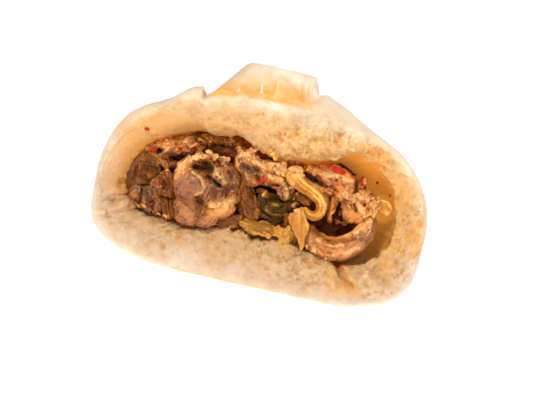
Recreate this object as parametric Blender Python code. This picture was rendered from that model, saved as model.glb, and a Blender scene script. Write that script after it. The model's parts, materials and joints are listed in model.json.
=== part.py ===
"""A steamed bun torn in half: a domed dough shell with a pleated, knotted top, open at the tear,
and a chopped filling of pork and cabbage that shows in the opening.

Frame: +Z up, the torn face looks along -Y, the origin is on the flat base under the dome's axis.
Sizes are metres. Points round the opening are named by a turn angle that is 0 at the right-hand
side, a quarter turn at the top, half a turn at the left and three quarters at the bottom.
"""

import math

import bmesh
import bpy
import numpy as np
from mathutils import Vector, noise

MM = 0.001

# The whole bun that this half was torn from
BUN_RADIUS = 46 * MM  # half its width
BUN_BACK = 44 * MM  # from its axis to the back
WAIST_HEIGHT = 20 * MM  # where it is widest
DOME_RISE = 31 * MM  # from the waist to the top, without the knot
BELLY_DROP = 21 * MM  # from the waist down, of which the last part is flattened on the base
DOME_SQUARENESS = 2.5
BELLY_SQUARENESS = 3.5

# The gathered knot and the pleats that run down from it
KNOT_X = -3 * MM
KNOT_Y = 5 * MM
KNOT_HALF_WIDTH = 17 * MM
KNOT_HALF_DEPTH = 14.5 * MM
KNOT_RISE = 9.8 * MM
KNOT_SHOULDER = 0.48  # share of the knot's size that is its rounded top
KNOT_DIMPLE = 2.4 * MM
PLEATS = 13
PLEAT_HEIGHT = 2.4 * MM
PLEAT_REACH = 36 * MM
PLEAT_TWIST = 1.1  # how far the pleats swirl, in pleats

# The tear
TEAR_Y = -8 * MM
SKIN_EDGE = (5.0 * MM, 1.6 * MM)  # how far the skin curls over the edge: at the left, at the right
MOUTH_LIP = (6.5 * MM, 1.8 * MM)  # the same, where the torn face turns into the hollow
# Soft swellings of the torn face: across, up, half width, half height, how far it stands out
SWELLINGS = (
    (8 * MM, 43 * MM, 20 * MM, 7 * MM, 4.5 * MM),  # the upper lobe of crumb
    (0 * MM, 9 * MM, 34 * MM, 7 * MM, 3.0 * MM),  # the lower lip
    (-32 * MM, 36 * MM, 12 * MM, 9 * MM, -2.0 * MM),  # the smooth hollow at the upper left
    (42 * MM, 26 * MM, 8 * MM, 16 * MM, -1.5 * MM),  # the right-hand rim lies further back
)

# The mouth of the hollow: across and up, in millimetres, from the left end over the top
MOUTH_MM = (
    (-37.6, 20.5), (-36.4, 26), (-32.7, 32.1), (-26, 35.4), (-20, 38), (-16, 37.2), (-9.5, 39.3),
    (-4.5, 36.9), (1, 35.8), (8, 36.6), (16, 38.9), (22.4, 41.8), (28, 39.4), (33.4, 34.6),
    (36.6, 27), (36.4, 20), (32.4, 14), (26, 11.8), (18.4, 12.2), (8.5, 14.2), (0, 13.8),
    (-7, 14.3), (-20, 12.8), (-30, 12.8), (-35.4, 15.4),
)
HOLLOW_X = -1 * MM
HOLLOW_Z = 25.5 * MM
HOLLOW_BACK = 33 * MM  # how deep its back wall lies
HOLLOW_FLARE = 7 * MM  # how much the hollow narrows in its first stretch, at the right-hand side
FLARE_DEPTH = 14 * MM

GAP = 0.35 * MM  # between pieces that touch

# The filling. Millimetres: lumps are sets of knobs, each x, y, z and radius; strips are paths of
# x, y, z, half the width seen in the opening and half the depth
LEFT_CHUNK = (
    (-15, -4.5, 24, 7.2), (-18.5, -4, 28, 5), (-12.5, -3.5, 28.5, 4.6), (-19, -5, 20.5, 5.2),
    (-12.5, -5.5, 19.5, 5.4), (-10.5, -3, 25, 4.4), (-16, -5, 17.5, 4),
)
MIDDLE_CHUNK = (
    (-0.5, -5, 31, 4.6), (-6.5, -5.5, 33, 3), (-3.5, -5.5, 31, 3.6), (-1.5, -6, 33, 2.8),
    (3, -5.5, 31.5, 3.4), (5.5, -5.5, 29.5, 3.2), (6.5, -5, 32, 2.4), (-5.5, -4.5, 30, 3),
)
RIGHT_CHUNK = (
    (16, -2, 33, 4.6), (11.5, -2, 33.6, 3.2), (19.5, -2.5, 33.2, 3.8), (21, -3, 31, 3.2),
    (14.5, -1.5, 30.5, 3.6), (12, -1, 29, 3), (17, -2.5, 35.4, 2.6), (24, 0.5, 33, 2.6),
    (17.5, -1, 27.5, 2.4),
)
CRUMBLED = (
    (27, -5, 28.5, 3.6), (24.8, -5, 29.5, 2.5), (28.6, -5, 30, 2.4), (26, -5.5, 27, 2.8),
    (28.5, -4, 27.5, 2.2),
)
GREEN_LEAF = (
    (4, -0.5, 22.5, 3.2), (1, -0.5, 23.5, 2.4), (7.5, -0.5, 24, 2.4), (3, -0.5, 20.8, 2.4),
    (7, -0.5, 21.6, 2.2),
)
LOW_LEFT_CHUNK = (
    (-30.5, -0.5, 17.6, 3.2), (-33, 0.5, 18, 2.2), (-28, -0.5, 16.4, 2.6), (-30, -0.5, 15.6, 2),
)
LEFT_LEAF = (
    (-31.5, 3, 22.5, 3.4), (-33.6, 3, 22, 2.4), (-30, 3, 24.6, 2.6), (-30, 3, 21, 2.4),
)
UPPER_LEFT_CHUNK = (
    (-28.5, 2, 30.3, 3.2), (-31, 2.5, 29.3, 2.4), (-25.5, 2, 31.5, 2.6), (-23, 2.5, 32.5, 2.2),
)
WEDGE = (
    (10.6, -10.6, 25.2, 0.7, 0.7), (10.9, -11, 23.6, 1.6, 0.9), (11.4, -11.4, 20.4, 2.6, 1),
    (12.8, -11.6, 17.4, 1.9, 0.9), (14, -11.4, 14.2, 0.7, 0.6),
)
HOOK = (
    (4.6, -8.6, 35.6, 1.1, 1.4), (7.4, -9, 34.2, 1.5, 2), (9.6, -9, 32.8, 1.5, 2.2),
    (12.4, -9, 31.2, 1.4, 2.2), (15, -9, 29, 1.3, 2.2), (16.2, -8.8, 26.4, 1.3, 2),
    (15.7, -8.4, 24, 1.2, 1.8), (13.6, -8, 22.9, 1, 1.4),
)
CURL = (
    (13.4, -6, 19.4, 1.8, 3), (15.6, -6.4, 16.6, 2.5, 3.8), (19.6, -6.6, 15.4, 2.7, 4.2),
    (24, -6.6, 16, 2.8, 4.2), (27.6, -6.4, 18.8, 2.5, 4), (29.6, -6, 22.6, 2, 3.6),
    (30, -5.6, 25.6, 1.4, 2.6),
)
FLAP = ((30, -3.4, 30.8, 1.2, 1.2), (32.4, -3, 29.8, 1.7, 1.2), (34.2, -2.6, 27.6, 1, 0.9))
BROWN_LEAF = (
    (-4.8, -3.6, 27.2, 1.4, 1), (-4, -3.8, 23.6, 2.4, 1.2), (-2.6, -4, 20.6, 2.6, 1.2),
    (-0.6, -4, 18, 1.6, 1),
)
LEFT_STRIP = (
    (-27.6, -1, 25.6, 1.2, 1), (-26.6, -1.4, 22.4, 2, 1.2), (-25.4, -1.8, 19, 2, 1.2),
    (-24.4, -2, 15.6, 1.4, 1),
)
UPPER_LEAF = (
    (-22, 2, 35, 1.4, 2.6), (-18, 1, 36.4, 1.9, 3.4), (-13, 0.6, 36.4, 2, 3.6),
    (-8, 0.6, 36.6, 2, 3.6), (-3, 1, 35, 1.6, 3),
)

# The packed filling behind them: how deep its front lies, and how much deeper at either end
CORE_FRONT = 0.5 * MM
CORE_RIGHT = 9 * MM
CORE_LEFT = 2.5 * MM
CORE_FRONT_ROWS = 6
CORE_ROW_STEP = 0.015

# The free space the filling is fitted to
ROOM_FRONT = -26 * MM
ROOM_SHRINK = 0.008
COLUMNS = 64
TOP_CROWDING = 0.45  # how much closer the columns stand at the pleated top
SKIN_ROWS = 17
FACE_ROWS = 5
EDGE_ROWS = 2
HOLLOW_ROWS = 6


def smooth_step(low, high, value):
    share = np.clip((value - low) / (high - low), 0, 1)
    return share * share * (3 - 2 * share)


def closed_spline(points, steps):
    """Points on a smooth closed curve through the given ones."""
    p = np.array(points, float)
    before, after, beyond = np.roll(p, 1, 0), np.roll(p, -1, 0), np.roll(p, -2, 0)
    curve = []
    for step in range(steps):
        s = step / steps
        curve.append(
            0.5 * (2 * p + (after - before) * s + (2 * before - 5 * p + 4 * after - beyond) * s**2
                   + (3 * p - before - 3 * after + beyond) * s**3)
        )
    return np.stack(curve, axis=1).reshape(-1, 2)


def open_spline(points, steps):
    """Points on a smooth open curve through the given ones."""
    p = [Vector(x) for x in points]
    p = [2 * p[0] - p[1], *p, 2 * p[-1] - p[-2]]
    curve = []
    for a, b, c, d in zip(p, p[1:], p[2:], p[3:]):
        for step in range(steps):
            s = step / steps
            curve.append(
                0.5 * (2 * b + (c - a) * s + (2 * a - 5 * b + 4 * c - d) * s**2
                       + (3 * b - a - 3 * c + d) * s**3)
            )
    return [*curve, p[-2]]


def mouth_reach(turn):
    """How far from the middle of the hollow each column meets its mouth."""
    curve = closed_spline(MOUTH_MM, 12) * MM
    across, up = curve[:, 0] - HOLLOW_X, curve[:, 1] - HOLLOW_Z
    angle = np.arctan2(up, across) % (2 * np.pi)
    order = np.argsort(angle)
    return np.interp(turn % (2 * np.pi), angle[order], np.hypot(across, up)[order], period=2 * np.pi)


def bun_reach(turn, y):
    """How far from the middle of the hollow each column meets the smooth bun, at depth y."""
    dx, dz = np.cos(turn), np.sin(turn)
    low, high = np.zeros_like(dx * y), np.full_like(dx * y, 2 * BUN_RADIUS)
    for _ in range(40):
        middle = (low + high) / 2
        x, z = HOLLOW_X + middle * dx, HOLLOW_Z + middle * dz - WAIST_HEIGHT
        out = np.hypot(x / BUN_RADIUS, y / np.where(y > 0, BUN_BACK, BUN_RADIUS))
        dome = out**DOME_SQUARENESS + np.abs(z / DOME_RISE) ** DOME_SQUARENESS
        belly = out**BELLY_SQUARENESS + np.abs(z / BELLY_DROP) ** BELLY_SQUARENESS
        outside = np.where(z > 0, dome, belly) > 1
        low, high = np.where(outside, low, middle), np.where(outside, middle, high)
    return low


def gathered_top(x, y):
    """How far the knot and the pleats raise the dome's top."""
    across, back = x - KNOT_X, y - KNOT_Y
    out = np.hypot(across / KNOT_HALF_WIDTH, back / KNOT_HALF_DEPTH)
    radius = np.hypot(across, back)
    knot = KNOT_RISE * (1 - smooth_step(KNOT_SHOULDER, 1, out)) * (1 - 0.12 * out**2)
    knot = knot - KNOT_DIMPLE * np.exp(-((out / 0.22) ** 2))
    swirl = PLEATS * np.arctan2(back, across) / (2 * np.pi) + PLEAT_TWIST * np.log1p(out)
    fold = np.abs(np.sin(np.pi * swirl)) ** 0.7 - 0.55
    height = smooth_step(0.25, 0.95, out) * (1 - smooth_step(0.4 * PLEAT_REACH, PLEAT_REACH, radius))
    return knot + PLEAT_HEIGHT * fold * height


def relief(x, z):
    """How far back the torn face lies."""
    y = TEAR_Y * np.ones_like(x)
    for across, up, half_width, half_height, out in SWELLINGS:
        y = y - out * np.exp(-(((x - across) / half_width) ** 2) - ((z - up) / half_height) ** 2)
    return y


def left_to_right(pair, turn):
    """A size that is pair[0] at the left-hand side and pair[1] from the top round to the bottom."""
    left, right = pair
    return right + (left - right) * smooth_step(0.25, 0.9, -np.cos(turn))


def quarter(rows):
    """Shares of a quarter turn, without its ends."""
    return [(row + 1) / (rows + 1) * math.pi / 2 for row in range(rows)]


def shell_rows(turn):
    """The dough's surface as rows of points round the opening, from the back to the hollow's end."""
    dx, dz = np.cos(turn), np.sin(turn)
    skin_curl, mouth_curl = left_to_right(SKIN_EDGE, turn), left_to_right(MOUTH_LIP, turn)
    edge = bun_reach(turn, np.full_like(turn, TEAR_Y))
    mouth = mouth_reach(turn)
    edge_y = relief(HOLLOW_X + edge * dx, HOLLOW_Z + edge * dz) + skin_curl
    rows = []

    def add(reach, y, gathered=0.0):
        x, z = HOLLOW_X + reach * dx, HOLLOW_Z + reach * dz
        top = smooth_step(WAIST_HEIGHT, WAIST_HEIGHT + 0.8 * DOME_RISE, z)
        z = np.maximum(z + gathered * top * gathered_top(x, y), 0)
        rows.append(np.stack([x, y, z], axis=1))

    for row in range(1, SKIN_ROWS + 1):
        angle = (row / SKIN_ROWS) ** 0.8 * np.arccos(edge_y / BUN_BACK)
        y = BUN_BACK * np.cos(angle)
        add(bun_reach(turn, y), y, 1.0)
    start = bun_reach(turn, edge_y)
    lip = mouth + mouth_curl
    inward = np.maximum(start - skin_curl, lip)
    for angle in quarter(EDGE_ROWS):
        reach = start - (start - inward) * (1 - math.cos(angle))
        add(reach, edge_y - skin_curl * math.sin(angle), math.cos(angle) ** 2)
    for row in range(FACE_ROWS):
        reach = inward + (lip - inward) * row / (FACE_ROWS - 1)
        add(reach, relief(HOLLOW_X + reach * dx, HOLLOW_Z + reach * dz))
    lip_y = relief(HOLLOW_X + lip * dx, HOLLOW_Z + lip * dz)
    for angle in quarter(EDGE_ROWS):
        add(lip - mouth_curl * math.sin(angle), lip_y + mouth_curl * (1 - math.cos(angle)))
    for row in range(HOLLOW_ROWS):
        add(*hollow_row(turn, mouth, lip_y + mouth_curl, row / HOLLOW_ROWS))
    return rows


def hollow_row(turn, mouth, mouth_y, share):
    """One row of the hollow's wall: how far out it is and how deep."""
    angle = share * np.pi / 2
    y = mouth_y + (HOLLOW_BACK - mouth_y) * np.sin(angle)
    flare = HOLLOW_FLARE * smooth_step(0, 0.9, np.cos(turn))
    narrowed = mouth - flare * smooth_step(0, FLARE_DEPTH, y - mouth_y)
    return narrowed * np.maximum(np.cos(angle), 0) ** 0.75, y


def material(name, colour, roughness):
    made = bpy.data.materials.new(name)
    made.use_nodes = True
    surface = made.node_tree.nodes["Principled BSDF"]
    surface.inputs["Base Color"].default_value = (*colour, 1)
    surface.inputs["Roughness"].default_value = roughness
    surface.inputs["Metallic"].default_value = 0
    return made


def add_object(name, shape, finish=None):
    """An object of this shape, which is used up, with its normals outward."""
    bmesh.ops.recalc_face_normals(shape, faces=shape.faces)
    if shape.calc_volume(signed=True) < 0:
        bmesh.ops.reverse_faces(shape, faces=shape.faces)
    mesh = bpy.data.meshes.new(name)
    shape.to_mesh(mesh)
    shape.free()
    mesh.shade_smooth()
    made = bpy.data.objects.new(name, mesh)
    bpy.context.scene.collection.objects.link(made)
    if finish:
        mesh.materials.append(finish)
    return made


def loft(name, rows, start, end, finish=None):
    """A closed skin over rows of points, from the point start to the point end."""
    shape = bmesh.new()
    loops = [[shape.verts.new(point) for point in row] for row in rows]
    poles = [shape.verts.new(start), shape.verts.new(end)]
    for near, far in zip(loops, loops[1:]):
        for i in range(len(near)):
            shape.faces.new((near[i - 1], near[i], far[i], far[i - 1]))
    for i in range(len(loops[0])):
        shape.faces.new((loops[0][i], loops[0][i - 1], poles[0]))
        shape.faces.new((loops[-1][i - 1], loops[-1][i], poles[1]))
    return add_object(name, shape, finish)


def column_turns(count):
    even = np.arange(count) * 2 * np.pi / count
    return even + TOP_CROWDING * np.cos(even)


def build_dough(finish):
    rows = shell_rows(column_turns(COLUMNS))
    back = Vector((HOLLOW_X, BUN_BACK, HOLLOW_Z))
    end = Vector((HOLLOW_X, HOLLOW_BACK, HOLLOW_Z))
    return loft("dough", rows, back, end, finish)


def room_grid(turn):
    """Rows of the free space in the hollow, from the mouth to the back: how far out, how deep."""
    curl = left_to_right(MOUTH_LIP, turn)
    mouth = mouth_reach(turn)
    lip = mouth + curl
    mouth_y = relief(HOLLOW_X + lip * np.cos(turn), HOLLOW_Z + lip * np.sin(turn)) + curl
    reach, depth = [], []
    for row in range(HOLLOW_ROWS):
        out, y = hollow_row(turn, mouth, mouth_y, row / HOLLOW_ROWS)
        reach.append(out * (1 - ROOM_SHRINK) - GAP)
        depth.append(y)
    reach.append(np.zeros_like(turn))
    depth.append(np.full_like(turn, HOLLOW_BACK - 2 * GAP))
    return np.array(reach), np.array(depth)


def room_row(grid, share):
    """A row part of the way to the back, on the flats between the grid's rows."""
    place = np.clip(share, 0, 1) * HOLLOW_ROWS
    low = np.minimum(place.astype(int), HOLLOW_ROWS - 1)
    columns = np.arange(grid[0].shape[1])
    return [rows[low, columns] + (rows[low + 1, columns] - rows[low, columns]) * (place - low)
            for rows in grid]


def build_room():
    """The free space in the hollow, carried on out through the mouth."""
    turn = column_turns(COLUMNS)
    reach, depth = room_grid(turn)
    reach = [reach[0], *reach[:-1]]
    end = Vector((HOLLOW_X, depth[-1][0], HOLLOW_Z))
    depth = [np.full_like(turn, ROOM_FRONT), *depth[:-1]]
    rows = [
        np.stack([HOLLOW_X + out * np.cos(turn), y, HOLLOW_Z + out * np.sin(turn)], axis=1)
        for out, y in zip(reach, depth)
    ]
    return loft("room", rows, Vector((HOLLOW_X, ROOM_FRONT, HOLLOW_Z)), end)


def core_front(x, z):
    """How deep the front of the packed filling lies."""
    wave = 1.2 * MM * np.sin(x / (4.1 * MM)) * np.cos(z / (3.3 * MM) + x / (9 * MM))
    right = smooth_step(20 * MM, 33 * MM, x)
    left = smooth_step(24 * MM, 35 * MM, -x)
    return CORE_FRONT + wave + CORE_RIGHT * right + CORE_LEFT * left


def build_core():
    """The packed filling behind the pieces, with an uneven front."""
    turn = column_turns(COLUMNS)
    grid = room_grid(turn)
    low, high = np.zeros_like(turn), np.ones_like(turn)
    for _ in range(30):
        middle = (low + high) / 2
        reach, y = room_row(grid, middle)
        x, z = HOLLOW_X + reach * np.cos(turn), HOLLOW_Z + reach * np.sin(turn)
        ahead = y < core_front(x, z)
        low, high = np.where(ahead, middle, low), np.where(ahead, high, middle)
    rows = []
    brim = room_row(grid, high)[0]
    for row in range(1, CORE_FRONT_ROWS):
        reach = brim * row / CORE_FRONT_ROWS
        x, z = HOLLOW_X + reach * np.cos(turn), HOLLOW_Z + reach * np.sin(turn)
        rows.append(np.stack([x, core_front(x, z), z], axis=1))
    for row in range(HOLLOW_ROWS):
        reach, y = room_row(grid, np.maximum(high + CORE_ROW_STEP * row, row / HOLLOW_ROWS))
        rows.append(
            np.stack([HOLLOW_X + reach * np.cos(turn), y, HOLLOW_Z + reach * np.sin(turn)], axis=1)
        )
    middle_front = float(core_front(np.array(HOLLOW_X), np.array(HOLLOW_Z)))
    start = Vector((HOLLOW_X, middle_front, HOLLOW_Z))
    end = Vector((HOLLOW_X, float(grid[1][-1][0]), HOLLOW_Z))
    return loft("filling_core", rows, start, end)


def knobbly(name, knobs, roughness_mm, seed, finish, detail=3):
    """A lump that reaches out to the far side of every knob, each given as x, y, z and radius."""
    spheres = [(Vector(knob[:3]) * MM, knob[3] * MM) for knob in knobs]
    weight = sum(radius for _, radius in spheres)
    centre = sum((spot * radius for spot, radius in spheres), Vector()) / weight
    shape = bmesh.new()
    bmesh.ops.create_icosphere(shape, subdivisions=detail, radius=1)
    for vert in shape.verts:
        way = vert.co.normalized()
        far = 0.0
        for spot, radius in spheres:
            along = (spot - centre).dot(way)
            inside = radius**2 - (spot - centre).length_squared + along**2
            if inside > 0:
                far = max(far, along + math.sqrt(inside))
        far = max(far, 0.35 * spheres[0][1])
        point = centre + way * far
        bump = noise.noise(point / (3.2 * MM) + Vector((seed, 0, 0)))
        vert.co = point + way * bump * roughness_mm * MM
    return add_object(name, shape, finish)


def band(name, path, finish, sides=8, steps=4):
    """A strip along a path of x, y, z, with its half width in the opening and half depth, in mm."""
    spine = open_spline([Vector(stop[:3]) * MM for stop in path], steps)
    sizes = open_spline([Vector((*stop[3:5], 0)) * MM for stop in path], steps)
    rows = []
    for i, (spot, size) in enumerate(zip(spine, sizes)):
        along = spine[min(i + 1, len(spine) - 1)] - spine[max(i - 1, 0)]
        side = Vector((along.z, 0, -along.x)).normalized()
        back = Vector((0, 1, 0))
        rows.append(
            [
                spot + side * size.x * math.cos(a) + back * size.y * math.sin(a)
                for a in (2 * math.pi * k / sides for k in range(sides))
            ]
        )
    first, last = spine[0] - spine[1], spine[-1] - spine[-2]
    return loft(name, rows, spine[0] + first * 0.3, spine[-1] + last * 0.3, finish)


def combine(target, other, operation):
    """Cut target with other, or keep what they share, with an exact Boolean."""
    step = target.modifiers.new("combine", "BOOLEAN")
    step.operation, step.solver, step.object = operation, "EXACT", other
    bpy.context.view_layer.objects.active = target
    bpy.ops.object.modifier_apply(modifier=step.name)


def keep_largest(target):
    """Drop the crumbs that cuts leave, so that one body remains."""
    shape = bmesh.new()
    shape.from_mesh(target.data)
    bmesh.ops.triangulate(shape, faces=shape.faces)
    left, bodies = set(shape.verts), []
    while left:
        start = left.pop()
        body, fresh = {start}, [start]
        while fresh:
            linked = {vert for edge in fresh.pop().link_edges for vert in edge.verts} - body
            body |= linked
            fresh += linked
        left -= body
        bodies.append(body)
    for body in sorted(bodies, key=len)[:-1]:
        bmesh.ops.delete(shape, geom=list(body), context="VERTS")
    shape.to_mesh(target.data)
    shape.free()
    target.data.shade_smooth()


def inflated(target):
    """A copy whose skin lies one gap further out."""
    grown = target.copy()
    grown.data = target.data.copy()
    bpy.context.scene.collection.objects.link(grown)
    normals = [vert.normal.copy() for vert in grown.data.vertices]
    for vert, normal in zip(grown.data.vertices, normals):
        vert.co += normal * GAP
    return grown


def near(one, other):
    """Whether the two bounding boxes meet."""
    for axis in range(3):
        a = [vert.co[axis] for vert in one.data.vertices]
        b = [vert.co[axis] for vert in other.data.vertices]
        if min(a) > max(b) or min(b) > max(a):
            return False
    return True


def build_filling():
    pork = material("pork", (0.62, 0.38, 0.2), 0.4)
    pale = material("cabbage_pale", (0.82, 0.6, 0.28), 0.35)
    dark = material("cabbage_dark", (0.42, 0.32, 0.18), 0.35)
    pieces = [
        band("cabbage_wedge", WEDGE, pale, 6, 3),
        band("cabbage_hook", HOOK, pale, 6, 2),
        band("pork_slice_curled", CURL, pork, 10, 2),
        knobbly("pork_chunk_left", LEFT_CHUNK, 1.0, 3.0, pork),
        knobbly("pork_chunk_middle", MIDDLE_CHUNK, 1.0, 7.0, pork),
        knobbly("pork_crumbled_right", CRUMBLED, 0.8, 11.0, pork),
        knobbly("pork_chunk_right", RIGHT_CHUNK, 1.0, 15.0, pork),
        band("cabbage_flap_right", FLAP, pale, 6, 2),
        band("cabbage_leaf_brown", BROWN_LEAF, dark, 6, 3),
        knobbly("cabbage_leaf_green", GREEN_LEAF, 0.6, 19.0, dark, 2),
        band("cabbage_strip_left", LEFT_STRIP, dark, 6, 2),
        knobbly("pork_chunk_low_left", LOW_LEFT_CHUNK, 0.8, 23.0, pork, 2),
        knobbly("cabbage_leaf_left", LEFT_LEAF, 0.6, 27.0, dark, 2),
        knobbly("pork_chunk_upper_left", UPPER_LEFT_CHUNK, 0.8, 31.0, pork, 2),
        band("cabbage_leaf_upper", UPPER_LEAF, dark, 6, 2),
    ]
    room, core = build_room(), build_core()
    core.data.materials.append(pork)
    cutters = [inflated(piece) for piece in pieces]
    for index, piece in enumerate([*pieces, core]):
        if piece is not core:
            combine(piece, room, "INTERSECT")
        for cutter in cutters[:index]:
            if near(piece, cutter):
                combine(piece, cutter, "DIFFERENCE")
        keep_largest(piece)
    for helper in [room, *cutters]:
        bpy.data.objects.remove(helper)


def clear_scene():
    for old in list(bpy.data.objects):
        bpy.data.objects.remove(old)


def main():
    clear_scene()
    build_dough(material("dough", (0.86, 0.78, 0.66), 0.6))
    build_filling()


main()
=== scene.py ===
"""The look of a steamed bun torn in half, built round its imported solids.

The dough is one skin with a pleated, knotted top and a torn face of open crumb; the filling is
braised pork, cabbage and chilli, wet with oil. Sizes are metres, or millimetres where a name or a
comment says so. +Z is up and the torn face looks along -Y.
"""

import json
import math
import random

import bpy
import numpy as np
from mathutils import Matrix, Vector, kdtree, noise

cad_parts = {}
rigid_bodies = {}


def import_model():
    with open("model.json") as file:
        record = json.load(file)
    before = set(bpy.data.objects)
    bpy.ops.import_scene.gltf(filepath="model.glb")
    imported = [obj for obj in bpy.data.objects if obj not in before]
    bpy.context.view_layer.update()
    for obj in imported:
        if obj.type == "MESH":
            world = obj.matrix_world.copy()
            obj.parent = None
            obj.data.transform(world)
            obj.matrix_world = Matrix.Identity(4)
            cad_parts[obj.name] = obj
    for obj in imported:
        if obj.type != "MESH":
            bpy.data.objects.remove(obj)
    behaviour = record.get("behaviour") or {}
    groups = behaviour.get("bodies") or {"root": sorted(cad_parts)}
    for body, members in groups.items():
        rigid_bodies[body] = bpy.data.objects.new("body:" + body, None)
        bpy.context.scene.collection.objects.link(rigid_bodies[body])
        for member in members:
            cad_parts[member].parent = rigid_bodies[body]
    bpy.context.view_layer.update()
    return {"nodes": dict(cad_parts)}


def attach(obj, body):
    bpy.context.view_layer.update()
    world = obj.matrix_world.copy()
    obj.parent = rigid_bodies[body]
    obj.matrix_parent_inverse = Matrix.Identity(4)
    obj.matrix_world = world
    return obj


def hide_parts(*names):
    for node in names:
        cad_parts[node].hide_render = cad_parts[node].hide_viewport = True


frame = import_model()

bl_info = {
    "name": "Torn steamed bun",
    "version": (1, 0, 0),
    "blender": (4, 5, 0),
    "location": "3D View > Sidebar > Bun",
    "description": "Models a filled steamed bun torn in half, its filling and its studio",
    "category": "Object",
}

MM = 0.001

# The whole bun that this half was torn from, as its solid has it
BUN_RADIUS = 46 * MM
BUN_BACK = 44 * MM
WAIST_HEIGHT = 20 * MM
DOME_RISE = 31 * MM
BELLY_DROP = 21 * MM
DOME_SQUARENESS = 2.5
BELLY_SQUARENESS = 3.5
KNOT_X = -3 * MM
KNOT_Y = 5 * MM
KNOT_LEFT = 18.2 * MM
KNOT_RIGHT = 12.5 * MM
KNOT_HALF_DEPTH = 14 * MM
KNOT_RISE = 8.9 * MM
# Where the knot's shoulder lies, as a share of its radius, and how it slopes: left, then right
KNOT_SHOULDERS = (0.42, 0.78)
KNOT_SLOPES = (0.16, 0.45)
KNOT_FOOT = 49.4 * MM
# Swellings and dips of the knot: where across, half width, and how high or deep
KNOT_SWELLINGS = ((13.6 * MM, 8.4 * MM, 3.2 * MM), (10.6 * MM, 3 * MM, 1.7 * MM))
KNOT_DIPS = ((-21.6 * MM, 2.2 * MM, 2.3 * MM), (-31 * MM, 6 * MM, 1.5 * MM))
PLEATS = 13
PLEAT_REACH = 36 * MM
PLEAT_TWIST = 1.1
TEAR_Y = -8 * MM
# Radii of the torn face's outer edge and of its lip: at the left, then elsewhere
SKIN_EDGE = (5.0 * MM, 1.6 * MM)
MOUTH_LIP = (6.5 * MM, 1.8 * MM)
BOTTOM_EDGE = 3.6 * MM
LIP_ROLL = 1.7 * MM
LIP_ROLL_REACH = 6 * MM
# Swellings of the torn face: across, up, half width, half height and how far out
SWELLINGS = (
    (8 * MM, 43 * MM, 20 * MM, 7 * MM, 4.5 * MM),
    (0 * MM, 9 * MM, 34 * MM, 7 * MM, 3.0 * MM),
    (-32 * MM, 36 * MM, 12 * MM, 9 * MM, -2.0 * MM),
    (42 * MM, 26 * MM, 8 * MM, 16 * MM, -1.5 * MM),
)
# The outline of the hollow's mouth, x and z in millimetres
MOUTH_MM = (
    (-37.6, 20.5), (-36.4, 26), (-32.7, 32.1), (-26, 35.4), (-20, 38), (-16, 37.2), (-9.5, 39.3),
    (-4.5, 36.9), (1, 35.8), (8, 36.6), (16, 38.9), (22.4, 41.8), (28, 39.4), (33.4, 34.6),
    (36.6, 27), (36.4, 20), (32.4, 14), (26, 11.8), (18.4, 12.2), (8.5, 14.2), (0, 13.8),
    (-7, 14.3), (-20, 12.8), (-30, 12.8), (-35.4, 15.4),
)
HOLLOW_X = -1 * MM
HOLLOW_Z = 25.5 * MM
HOLLOW_BACK = 33 * MM
HOLLOW_FLARE = 7 * MM
FLARE_DEPTH = 14 * MM
# How far back the smooth bun reaches straight behind the middle of the hollow
HOLLOW_RISE = (HOLLOW_Z - WAIST_HEIGHT) / DOME_RISE
BACK_POLE = BUN_BACK * (1 - HOLLOW_RISE**DOME_SQUARENESS) ** (1 / DOME_SQUARENESS)

# The air: how bright in front, behind and overhead, its share of that on the left, what the camera sees
FRONT_AIR = 0.09
BACK_AIR = 0.5
TOP_AIR = 0.45
LEFT_AIR = 0.6
SEEN_AIR = 1.1
AIR_COLOUR = (1, 0.985, 0.965, 1)
# Painted glow: emission that stands for light coming through the thin, oily dough
WALL_GLOW = 0.26
RIM_GLOW = 0.22

# The soft lights: place, width, power and colour
LAMPS = {
    "key_window": ((-0.16, -0.36, 0.38), 0.1, 1.62, (1, 0.95, 0.88)),
    "side_window": ((0.13, -0.44, 0.3), 0.05, 0.4, (1, 0.97, 0.92)),
    "back_window": ((0.36, 0.26, 0.34), 0.3, 1.15, (1, 0.97, 0.93)),
}
LAMP_AIM = (0, 0, 0.03)
# The floor: width, parts along a side, how far back and how far down it lies, and its own glow
FLOOR_SIZE = 8
FLOOR_PARTS = 40
FLOOR_BACK = 1
FLOOR_DROP = 0.2 * MM
FLOOR_GLOW = 0.62

# The camera looks at this point of the torn face, from this much above and turned by this much
CAMERA_AIM = (4.83 * MM, -8 * MM, 24.8 * MM)
CAMERA_LIFT = math.radians(5)
CAMERA_ROLL = math.radians(13)
CAMERA_LENS = 100
CAMERA_SENSOR = 36
# The photo is 560 pixels wide, with about 3.7 of them to a millimetre
VIEW_WIDTH = 560 / 3.7 * MM
CAMERA_CLIP = (0.01, 20)

# How finely the dough's skin is modelled
COLUMNS = 820
TOP_CROWDING = 0.25
SKIN_RINGS = 43
EDGE_RINGS = 8
FACE_RINGS = 47
LIP_RINGS = 8
HOLLOW_RINGS = 12


def length_setting(label, description, default):
    return bpy.props.FloatProperty(
        name=label, description=description, default=default, min=0, unit="LENGTH")


def colour_setting(label, description, default):
    return bpy.props.FloatVectorProperty(
        name=label, description=description, default=default, min=0, max=1, subtype="COLOR")


class BunSizes(bpy.types.PropertyGroup):
    """Sizes that shape the bun's surface."""

    pleat_height: length_setting(
        "Pleat height", "How far the folds round the knot stand out", 3.2 * MM)
    knot_dimple: length_setting(
        "Knot dimple", "How deep the knot's middle is pinched in", 2.4 * MM)
    crumb_lumps: length_setting(
        "Crumb lumps", "Height of the soft lumps on the torn face", 0.6 * MM)
    crumb_grain: length_setting(
        "Crumb grain", "Height of the torn cell walls on the torn face", 0.46 * MM)
    crumb_clods: length_setting(
        "Crumb clods", "Height of the torn clods, highest at the right", 0.5 * MM)
    pores: bpy.props.IntProperty(
        name="Pores", description="Number of open pores on the torn face", default=120, min=0)


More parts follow.
